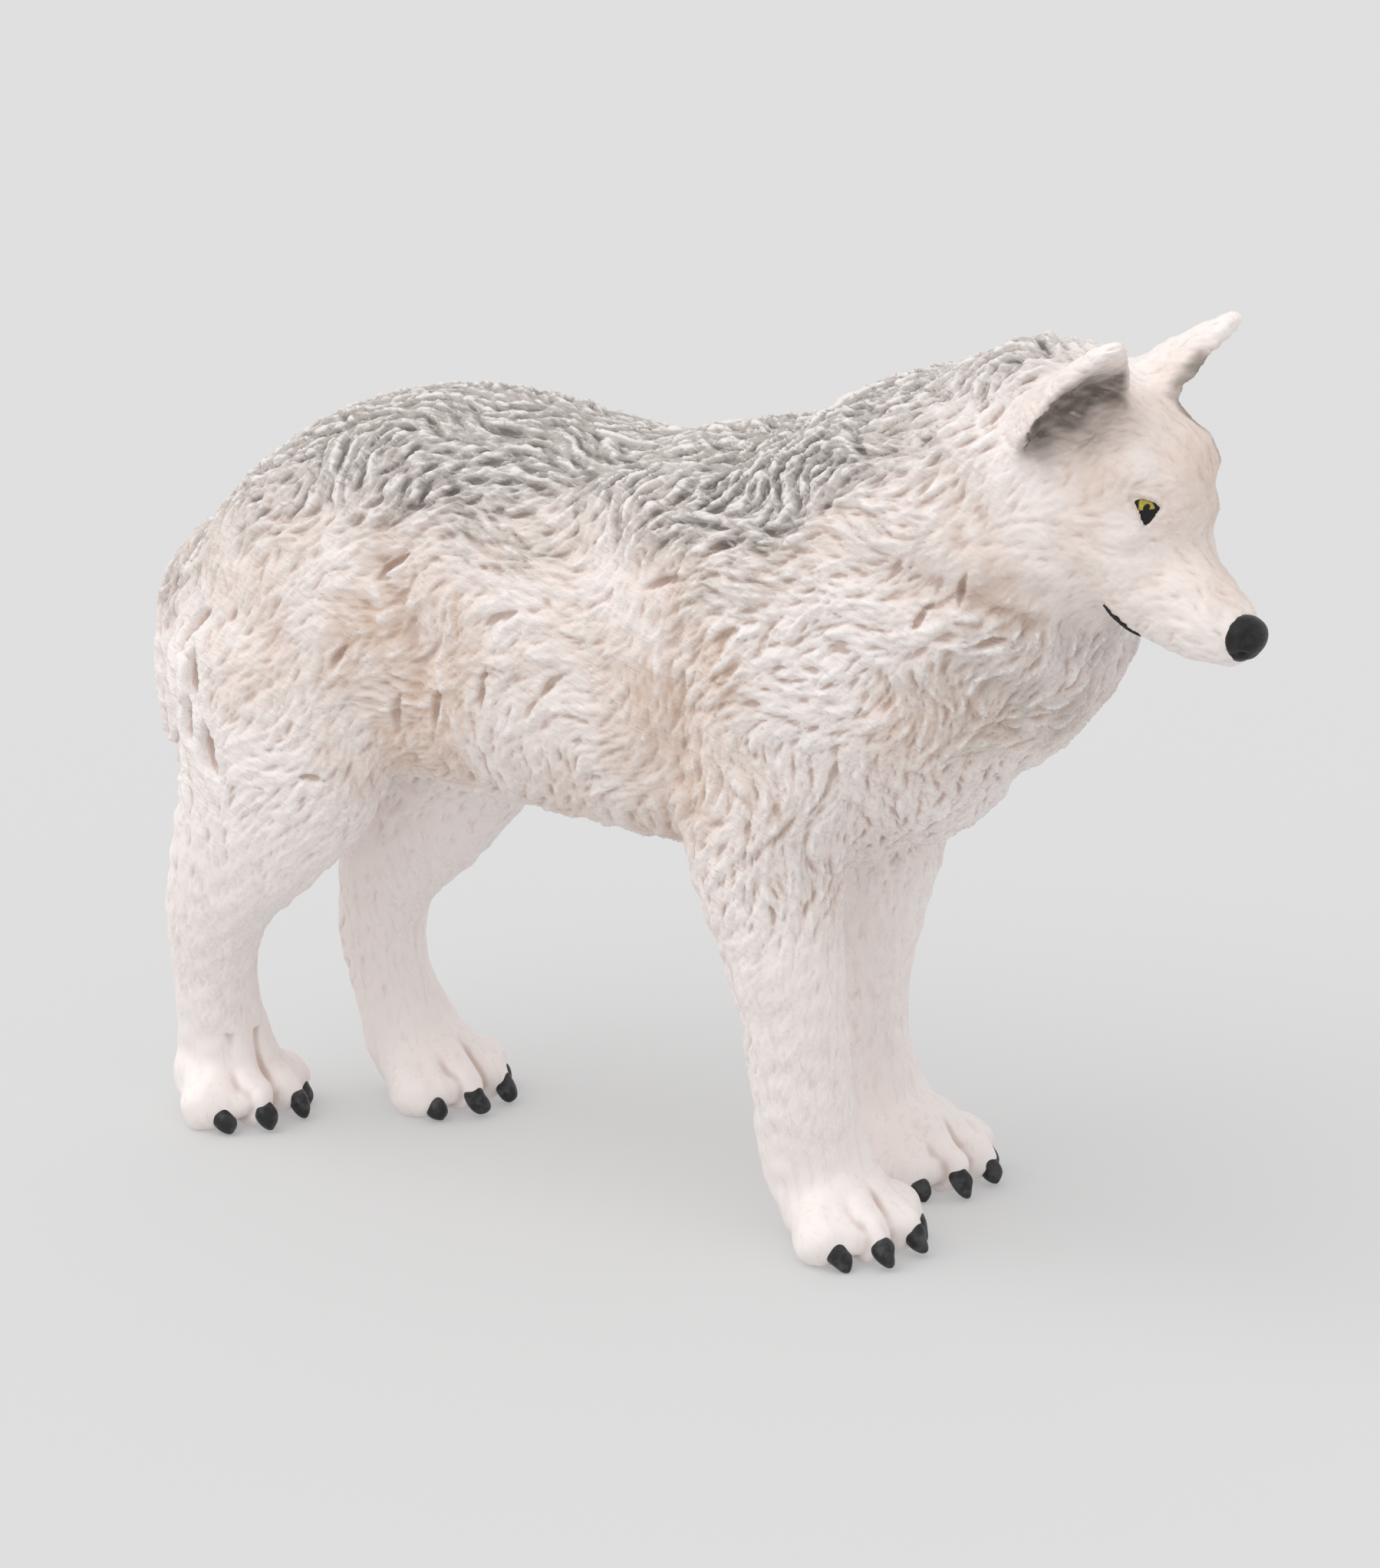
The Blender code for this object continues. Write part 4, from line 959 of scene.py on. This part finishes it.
def shade(points, normals):
    """The grey paint away from the saddle: throat and chest; and each ear's hollow, its paint darkened as
    painted shade.
    """
    total = spotted(points, GREY_SPOTS, 1.2) * (1 + 0.3 * waves(points, 4.0, 32))
    # The ears' hollows: grey-brown paint made darker as painted shade, and a strip of painted shade on the
    # left ear's front edge
    hollow = np.maximum(ear_hollow(points, normals, -1), ear_hollow(points, normals, 1))
    return np.clip(np.maximum(total, hollow * (0.92 + 0.12 * waves(points, 1.2, 35))), 0, 1)


def coat_surface():
    """The finished coat: vertices, faces, normals, paint masks, and where the eyes sit."""
    mesh = skin()
    edges = edges_of(mesh)
    points, eyes = carved_head(points_of(mesh), normals_of(mesh))
    set_points(mesh, points)
    normals = averaged(normals_of(mesh), edges, 6)
    normals /= np.linalg.norm(normals, axis=1)[:, None]
    height, zone = fur(points, normals)
    height = averaged(height, edges, 1, 0.25)
    raised = points + normals * height[:, None]
    raised[:, 2] = np.maximum(raised[:, 2], 0.0)
    set_points(mesh, raised)
    relief = height - averaged(height, edges, RELIEF_PASSES)
    # Tan and grey gather in the recesses and thin on the ridges: partly paint, partly painted shade
    recess = smoothstep(0.1, -0.35, relief)
    saddle = np.clip(zone["saddle"] * (1.0 - 0.9 * relief), 0, 1)
    tan = np.clip(wash(points) * (0.6 + 0.7 * recess), 0, 1)
    masks = {"saddle": saddle, "tan": tan, "shade": shade(points, normals), "relief": relief,
             "fur": 1 - np.maximum(0.6 * zone["bare"], zone["paw"]),
             "leg": np.maximum(zone["leg"], zone["fringe"])}
    faces = numbers(mesh.loops, "vertex_index", 1, np.int32).reshape(-1, 4)
    return raised, faces, normals_of(mesh), masks, eyes


# Putting meshes into the scene

def solid(name, points, faces, material, normals=None, masks=None):
    """A smooth shaded piece in metres that rides the body and stands for the solid."""
    mesh = bpy.data.meshes.new(name)
    mesh.from_pydata(((points + SHIFT) * MM).tolist(), [], faces)
    mesh.polygons.foreach_set("use_smooth", np.ones(len(mesh.polygons), bool))
    for title, values in (masks or {}).items():
        mesh.attributes.new(title, "FLOAT", "POINT").data.foreach_set("value", values.astype(np.float32))
    if normals is not None:
        mesh.normals_split_custom_set_from_vertices(normals)
    mesh.materials.append(material)
    piece = added(name, mesh)
    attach(piece, "root")
    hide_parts(NODE)


def rim_groups(edges):
    """A label for each border edge, shared by the edges of one loop."""
    label = np.arange(edges.max() + 1)
    while True:
        lowest = np.minimum(label[edges[:, 0]], label[edges[:, 1]])
        np.minimum.at(label, edges[:, 0], lowest)
        np.minimum.at(label, edges[:, 1], lowest)
        settled = np.minimum(label[edges[:, 0]], label[edges[:, 1]])
        if (settled == lowest).all() and (label[edges[:, 0]] == label[edges[:, 1]]).all():
            return label[edges[:, 0]]


def cut_piece(points, faces, normals, masks, chosen):
    """The chosen faces with their own vertices, each border loop closed by a cap set in below the skin."""
    used, inverse = np.unique(faces[chosen], return_inverse=True)
    quads = inverse.reshape(-1, 4)
    edges = np.stack([quads, np.roll(quads, -1, 1)], -1).reshape(-1, 2)
    key = np.sort(edges, 1) @ np.array([len(used), 1])
    _, first, count = np.unique(key, return_index=True, return_counts=True)
    rim = edges[first[count == 1]]
    places, outward = points[used], normals[used]
    parts = {title: values[used] for title, values in masks.items()}
    group = rim_groups(rim)
    fans = []
    for label in np.unique(group):
        loop = rim[group == label]
        starts = loop[:, 0]
        follower = np.empty(len(places), np.int64)
        follower[starts] = len(places) + np.arange(len(starts))
        first, second = follower[loop[:, 0]], follower[loop[:, 1]]
        middle = len(places) + len(starts)
        fans += np.stack([loop[:, 1], loop[:, 0], first, second], 1).tolist()
        fans += [(after, before, middle) for before, after in zip(first.tolist(), second.tolist())]
        sunk = places[starts] - outward[starts] * CAP_DEPTH
        places = np.vstack([places, sunk, sunk.mean(0)])
        outward = np.vstack([outward, outward[starts], (0, 0, 1)])
        parts = {title: np.concatenate([values, values[starts], values[starts[:1]]])
                 for title, values in parts.items()}
    return places, quads.tolist() + fans, outward, parts


def coat_pieces(points, faces, normals, masks, material):
    """The coat in eight pieces, so that none has too many faces: each face goes by its middle."""
    x, _, z = points[faces].mean(1).T
    ahead = to_head(points[faces].mean(1))[:, 0]
    fore = (x > LEGS_PARTING) & (z < LEG_CUT)
    hind = (x < LEGS_PARTING) & (z < LEG_CUT)
    head_cut = (ahead > HEAD_BACK) & (z > HEAD_FOOT) & (x > HEAD_START)
    rest = ~(fore | hind | head_cut)
    front, back = rest & (x > MANE_CUT), rest & (x <= CROUP_CUT)
    cuts = {"coat_head": head_cut, "coat_forelegs": fore, "coat_hindlegs": hind,
            "coat_mane": front & (z > CHEST_CUT), "coat_chest": front & (z <= CHEST_CUT),
            "coat_trunk": rest & (x <= MANE_CUT) & (x > CROUP_CUT),
            "coat_croup": back & (z > RUMP_CUT), "coat_rump": back & (z <= RUMP_CUT)}
    for name, chosen in cuts.items():
        places, polygons, outward, parts = cut_piece(points, faces, normals, masks, chosen)
        solid(name, places, polygons, material, outward, parts)


# Small parts

def eye_piece(name, place, material):
    """An almond lens: height 0.34 (1 - r^2) - 0.2 over the sunk rim, on a grid of r and angle."""
    middle, axes = place
    rings, around = 21, 96
    r = np.linspace(0, 1.02, rings + 1)[1:, None]
    angle = turn_of(around)
    reach = eye_radius(angle)
    rise = 0.34 * (1 - (r * np.ones(around)) ** 2) - 0.2
    grid = np.stack([r * reach * np.cos(angle), r * reach * np.sin(angle), rise], -1).reshape(-1, 3)
    local = np.vstack([[0, 0, 0.14], grid, [0, 0, -0.6]])
    ring = np.arange(around)
    after = np.roll(ring, -1)
    faces = [(0, int(a) + 1, int(b) + 1) for a, b in zip(ring, after)]
    for row in range(rings - 1):
        low = row * around + 1
        faces += np.stack([low + ring, low + ring + around, low + after + around, low + after], 1).tolist()
    low = (rings - 1) * around + 1
    faces += [(low + int(b), low + int(a), len(local) - 1) for a, b in zip(ring, after)]
    flip = np.linalg.det(axes) < 0
    faces = [face[::-1] for face in faces] if flip else faces
    turn = np.arctan2(local[:, 1], local[:, 0])
    distance = np.hypot(local[:, 0] - 0.05, local[:, 1] - 0.25)
    outer = 0.66 + 0.08 * np.sin(3 * turn + 1)
    edge = np.hypot(local[:, 0], local[:, 1]) / eye_radius(turn)
    iris = (1 - smoothstep(outer - 0.05, outer + 0.05, distance)) * (1 - smoothstep(0.72, 0.82, edge))
    iris *= smoothstep(-0.16, -0.04, local[:, 1] - 0.9 * np.clip(local[:, 0], -0.5, 1.0))
    pupil = 1 - smoothstep(0.24, 0.32, np.hypot((local[:, 0] - 0.12) * 1.1, (local[:, 1] - 0.2) * 0.8))
    solid(name, middle + local @ axes, faces, material, masks={"iris": iris * (1 - pupil)})


def nose_piece(material):
    """The nose pad: a ball, square across, tapered below, with two comma nostrils pressed in."""
    rings, around = 58, 96
    direction = globe(rings, around)
    wide = NOSE_HALF_WIDTH * (1 + 0.18 * direction[:, 2])
    local = direction * np.stack([np.full(len(wide), 1.75), wide, np.full(len(wide), 2.0)], 1)
    local[:, 0] += 0.25 * direction[:, 2] * (direction[:, 0] > 0)
    for side in (-1, 1):
        hole = np.array([1.25, side * 1.15, -0.35])
        distance = np.linalg.norm((local - hole) * (1, 1, 1.5), axis=1)
        local -= direction * (0.42 * bell(distance, 0.42))[:, None]
        slit = np.linalg.norm((local - (0.9, side * 1.6, -0.8)) * (1, 1, 1.8), axis=1)
        local -= direction * (0.25 * bell(slit, 0.4))[:, None]
    crease = bell(local[:, 1], 0.22) * smoothstep(0.2, -1.0, local[:, 2]) * (direction[:, 0] > 0)
    local -= direction * (0.22 * crease)[:, None]
    centre = from_head((MUZZLE_REACH + 0.55, 0.0, -5.2))
    solid("nose", centre + local @ HEAD_AXES, tube_faces(rings, around), material)


def mouth_piece(name, side, surface, material):
    """The painted line of the mouth: a thin tube laid on the skin, pointed at both ends."""
    path = from_head(through(np.array(MOUTH_LINE) * (1, side, 1), 6))
    nearest = [np.argmin(((surface - place) ** 2).sum(1)) for place in path]
    path = averaged(surface[nearest], (np.arange(len(path) - 1), np.arange(1, len(path))), 3)
    share = np.linspace(0, 1, len(path))
    radius = 0.03 + 0.17 * np.sin(np.pi * share ** 0.8) ** 0.6
    stations = np.hstack([path, radius[:, None], radius[:, None]])
    solid(name, *loft(stations, around=10, squareness=2, steps=3), material)


def claw(tip, axes):
    """A blunt claw: a ball stretched ahead, curved down, with worn flats."""
    rings, around = 20, 28
    direction = globe(rings, around)[:, (2, 0, 1)]
    share = (direction[:, 0] + 1) / 2
    taper = 1 - 0.24 * share ** 1.5
    local = direction * (CLAW_LENGTH / 2, CLAW_WIDTH / 2, CLAW_WIDTH / 2)
    local[:, 1:] *= taper[:, None]
    local *= 1 + 0.06 * waves(local + tip, 1.6, 41)[:, None]
    local[:, 2] -= 0.5 * share ** 2
    dip = np.radians(36)
    forward = axes[0] * np.cos(dip) - axes[2] * np.sin(dip)
    rows = np.array([forward, axes[1], np.cross(forward, axes[1])])
    points = tip + local @ rows
    points[:, 2] = np.maximum(points[:, 2], 0.05)
    return points, tube_faces(rings, around)


def claw_pieces(material):
    """Four claws on each paw, from the fronts of its toes."""
    for title, (centre, axes) in zip(("right_fore", "left_fore", "right_hind", "left_hind"), paws()):
        for index, toe in enumerate(toe_tips()):
            ahead = np.array(toe) + (TOE_LENGTH / 2 - 0.5, 0.0, -0.7)
            solid(f"claw_{title}_{index + 1}", *claw(centre + ahead @ axes, axes), material)


# Paint

def feed(tree, socket, value):
    """Link a socket to another, or give it a number, a vector, or red, green and blue."""
    if isinstance(value, bpy.types.NodeSocket):
        tree.links.new(value, socket)
    else:
        socket.default_value = (*value, 1) if socket.type == "RGBA" else value


def fitted(tree, made, **values):
    """A shader node given its settings in turn; sockets are named with underscores for spaces."""
    for name, value in values.items():
        socket = made.inputs.get(name.replace("_", " "))
        if socket is None:
            setattr(made, name, value)
        else:
            feed(tree, socket, value)
    return made


def node(tree, kind, **values):
    """A new shader node with its settings."""
    return fitted(tree, tree.nodes.new(kind), **values)


def attribute(tree, name):
    """A paint mask of the mesh."""
    return node(tree, "ShaderNodeAttribute", attribute_name=name).outputs["Fac"]


def mix(tree, factor, first, second):
    """Two colours mixed by a factor; a colour may be a socket or red, green, blue."""
    made = tree.nodes.new("ShaderNodeMix")
    made.data_type = "RGBA"
    for socket, value in ((made.inputs[0], factor), (made.inputs[6], first), (made.inputs[7], second)):
        feed(tree, socket, value)
    return made.outputs[2]


def arithmetic(tree, operation, *values):
    """A sum or product of sockets and numbers."""
    made = node(tree, "ShaderNodeMath", operation=operation)
    for socket, value in zip(made.inputs, values):
        feed(tree, socket, value)
    return made.outputs[0]


def scaled(tree, value, low, high, to_low=0.0, to_high=1.0):
    """A value mapped from one range to another, held inside it."""
    made = node(tree, "ShaderNodeMapRange", interpolation_type="SMOOTHSTEP", Value=value, From_Min=low,
                From_Max=high, To_Min=to_low, To_Max=to_high)
    return made.outputs["Result"]


def group(name, inputs, outputs):
    """A new shader node group: socket name to socket kind and value."""
    tree = bpy.data.node_groups.new(name, "ShaderNodeTree")
    for title, (kind, value) in inputs.items():
        socket = tree.interface.new_socket(title, in_out="INPUT", socket_type=kind)
        socket.default_value = value
    for title, kind in outputs.items():
        tree.interface.new_socket(title, in_out="OUTPUT", socket_type=kind)
    return tree, tree.nodes.new("NodeGroupInput").outputs, tree.nodes.new("NodeGroupOutput").inputs


def brushed_paint():
    """Group: a colour varied as hand-laid paint is, with its roughness and fine height."""
    tree, given, result = group(
        "brushed_paint",
        {"Color": ("NodeSocketColor", (0.8, 0.8, 0.8, 1)), "Thin": ("NodeSocketColor", (0.7, 0.7, 0.7, 1)),
         "Patchiness": ("NodeSocketFloat", 0.2), "Scale": ("NodeSocketFloat", 300.0),
         "Roughness": ("NodeSocketFloat", 0.5)},
        {"Color": "NodeSocketColor", "Roughness": "NodeSocketFloat", "Height": "NodeSocketFloat"})
    place = node(tree, "ShaderNodeTexCoord").outputs["Object"]
    broad = node(tree, "ShaderNodeTexNoise", Vector=place, Scale=given["Scale"], Detail=4.0, Roughness=0.6)
    grain = node(tree, "ShaderNodeTexNoise", Vector=place, Scale=5200.0, Detail=3.0, Roughness=0.6)
    patch = arithmetic(tree, "MULTIPLY", scaled(tree, broad.outputs["Fac"], 0.42, 0.68), given["Patchiness"])
    rough = arithmetic(tree, "MULTIPLY_ADD", broad.outputs["Fac"], 0.16, given["Roughness"])
    feed(tree, result["Color"], mix(tree, patch, given["Color"], given["Thin"]))
    feed(tree, result["Roughness"], rough)
    feed(tree, result["Height"], grain.outputs["Fac"])
    return tree


def material_of(name):
    """An empty node material: its tree, its Principled shader."""
    material = bpy.data.materials.new(name)
    material.use_nodes = True
    shader = next(item for item in material.node_tree.nodes if item.type == "BSDF_PRINCIPLED")
    return material, material.node_tree, shader


def painted(tree, shader, paint, color, thin, patchiness, scale, roughness, strength, height=None):
    """Feed a Principled shader from the brushed paint, with its bump."""
    coat = node(tree, "ShaderNodeGroup", node_tree=paint, Color=color, Thin=thin, Patchiness=patchiness,
                Scale=scale, Roughness=roughness).outputs
    height = coat["Height"] if height is None else height
    bump = node(tree, "ShaderNodeBump", Strength=strength, Distance=0.0003, Height=height)
    fitted(tree, shader, Base_Color=coat["Color"], Roughness=coat["Roughness"], Normal=bump.outputs["Normal"])


def hair_streaks():
    """Group: the height of hair lines finer than the mesh, along the body or down the legs."""
    tree, given, result = group(
        "hair_streaks", {"Upright": ("NodeSocketFloat", 0.0), "Waviness": ("NodeSocketFloat", 0.5)},
        {"Height": "NodeSocketFloat"})
    place = node(tree, "ShaderNodeTexCoord").outputs["Object"]
    heights = []
    for slope in (25.0, 80.0):
        turned = node(tree, "ShaderNodeVectorRotate", rotation_type="Y_AXIS", Vector=place,
                      Angle=np.radians(-slope))
        stretched = node(tree, "ShaderNodeMapping", Vector=turned.outputs["Vector"],
                         Scale=(260.0, 1500.0, 1500.0))
        lines = node(tree, "ShaderNodeTexNoise", Vector=stretched.outputs["Vector"], Scale=1.0, Detail=3.0,
                     Roughness=0.65, Distortion=given["Waviness"])
        heights.append(lines.outputs["Fac"])
    feed(tree, result["Height"], mix(tree, given["Upright"], *heights))
    return tree


def coat_material(paint):
    """White plastic with tan and grey sprayed on; recesses darker, as wash and painted shade, ridges lighter,
    as dry-brush and painted highlight.
    """
    material, tree, shader = material_of("painted_coat")
    saddle, relief = attribute(tree, "saddle"), attribute(tree, "relief")
    base = mix(tree, attribute(tree, "tan"), WHITE, TAN)
    base = mix(tree, attribute(tree, "shade"), base, SHADE)
    base = mix(tree, saddle, base, SADDLE)
    # Darker by the relief in the fur's recesses: partly wash, partly painted shade
    groove = mix(tree, saddle, CREAM_WASH_AND_SHADE, GROOVE_WASH_AND_SHADE)
    base = mix(tree, scaled(tree, relief, -0.02, -0.25, 0.0, 0.8), base, groove)
    # Lighter by the relief on the fur's ridges: partly dry-brushed paint, partly painted highlight
    base = mix(tree, scaled(tree, relief, 0.06, 0.26, 0.0, 0.75), base, RIDGE_PAINT_AND_HIGHLIGHT)
    streaks = node(tree, "ShaderNodeGroup", node_tree=hair_streaks(), Upright=attribute(tree, "leg"))
    height = streaks.outputs["Height"]
    # The fine streaks' hollows darkened, most in the saddle: partly wash, partly painted shade
    hollow = scaled(tree, height, 0.48, 0.34, 0.0, 0.55)
    hollow = arithmetic(tree, "MULTIPLY", hollow, scaled(tree, saddle, 0.0, 0.7, 0.3, 1.0))
    base = mix(tree, hollow, base, groove)
    # The fine streaks' crests lightened in the saddle: partly dry-brushed paint, partly painted highlight
    crest_paint_and_highlight = scaled(tree, height, 0.56, 0.66, 0.0, 0.5)
    base = mix(tree, arithmetic(tree, "MULTIPLY", crest_paint_and_highlight, saddle), base, RIDGE_PAINT_AND_HIGHLIGHT)
    height = arithmetic(tree, "MULTIPLY", height, attribute(tree, "fur"))
    thin = mix(tree, 0.5, base, THIN_WHITE)
    painted(tree, shader, paint, base, thin, 0.35, 260.0, 0.42, 0.8, height)
    fitted(tree, shader, Specular_IOR_Level=0.4)
    return material


def dark_material(name, paint, color, thin, roughness):
    """Brushed dark paint for claws, nose and mouth."""
    material, tree, shader = material_of(name)
    painted(tree, shader, paint, color, thin, 0.8, 900.0, roughness, 0.35)
    fitted(tree, shader, Specular_IOR_Level=0.3)
    return material


def eye_material(paint):
    """Gloss black with an olive yellow ring."""
    material, tree, shader = material_of("eye_paint")
    place = node(tree, "ShaderNodeTexCoord").outputs["Object"]
    speck = node(tree, "ShaderNodeTexNoise", Vector=place, Scale=3000.0, Detail=2.0)
    olive = mix(tree, speck.outputs["Fac"], OLIVE, PALE_OLIVE)
    color = mix(tree, attribute(tree, "iris"), EYE_BLACK, olive)
    painted(tree, shader, paint, color, THIN_BLACK, 0.1, 900.0, 0.12, 0.1)
    fitted(tree, shader, Specular_IOR_Level=0.2, Coat_Weight=0.25, Coat_Roughness=0.12)
    return material


# Studio

def floor():
    """A wide pale floor that glows a little, so that only the shadow close to the paws is strong."""
    half = 2.0
    corners = [(x * half, y * half, 0) for x, y in ((-1, -1), (1, -1), (1, 1), (-1, 1))]
    mesh = bpy.data.meshes.new("floor")
    mesh.from_pydata(corners, [], [(0, 1, 2, 3)])
    material, tree, shader = material_of("floor")
    fitted(tree, shader, Base_Color=(FLOOR_GREY,) * 3, Emission_Color=(1, 1, 1), Emission_Strength=FLOOR_GLOW,
           Roughness=1.0, Specular_IOR_Level=0.0)
    mesh.materials.append(material)
    added("floor", mesh)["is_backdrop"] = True


def sky():
    """White all round for the light, the floor's grey for the camera and for reflections."""
    world = bpy.data.worlds.new("studio")
    bpy.context.scene.world = world
    world.use_nodes = True
    tree = world.node_tree
    tree.nodes.clear()
    rays = node(tree, "ShaderNodeLightPath").outputs
    seen = node(tree, "ShaderNodeMath", operation="ADD", use_clamp=True)
    feed(tree, seen.inputs[0], rays["Is Camera Ray"])
    feed(tree, seen.inputs[1], rays["Is Glossy Ray"])
    level = mix(tree, seen.outputs[0], (SKY,) * 3, (BACKDROP,) * 3)
    light = node(tree, "ShaderNodeBackground", Strength=1.0, Color=level)
    node(tree, "ShaderNodeOutputWorld", Surface=light.outputs[0])


def lamp(name, direction, energy, angle):
    """A soft sun that shines from `direction`."""
    light = bpy.data.lights.new(name, "SUN")
    light.energy = energy
    light.angle = np.radians(angle)
    added(name, light).rotation_euler = mathutils.Vector(direction).to_track_quat("Z", "Y").to_euler()


def camera():
    """The photograph's view: from the figure's right and front, a little above."""
    azimuth, elevation = np.radians(VIEW_AZIMUTH), np.radians(VIEW_ELEVATION)
    level = np.cos(elevation)
    back = np.array([np.sin(azimuth) * level, -np.cos(azimuth) * level, np.sin(elevation)])
    lens = bpy.data.cameras.new("camera")
    lens.lens = VIEW_LENS
    holder = added("camera", lens)
    holder.location = ((VIEW_TARGET + SHIFT) + back * VIEW_DISTANCE) * MM
    holder.rotation_euler = mathutils.Vector(back).to_track_quat("Z", "Y").to_euler()
    bpy.context.scene.camera = holder


bpy.context.scene.view_settings.view_transform = "Standard"
paint = brushed_paint()
points, faces, normals, masks, eyes = coat_surface()
coat_pieces(points, faces, normals, masks, coat_material(paint))
glossy = eye_material(paint)
for title, place in zip(("right_eye", "left_eye"), eyes):
    eye_piece(title, place, glossy)
nose_piece(dark_material("nose_paint", paint, *NOSE_PAINT))
claw_pieces(dark_material("claw_paint", paint, *CLAW_PAINT))
line = dark_material("mouth_paint", paint, *MOUTH_PAINT)
for title, side in (("right_mouth", -1), ("left_mouth", 1)):
    mouth_piece(title, side, points, line)
floor()
sky()
lamp("key", KEY_WAY, KEY_ENERGY, KEY_ANGLE)
camera()

for box in (CAD_BOUNDS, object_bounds()):
    json.dumps([[float(value) for value in corner] for corner in box]) + "\n"
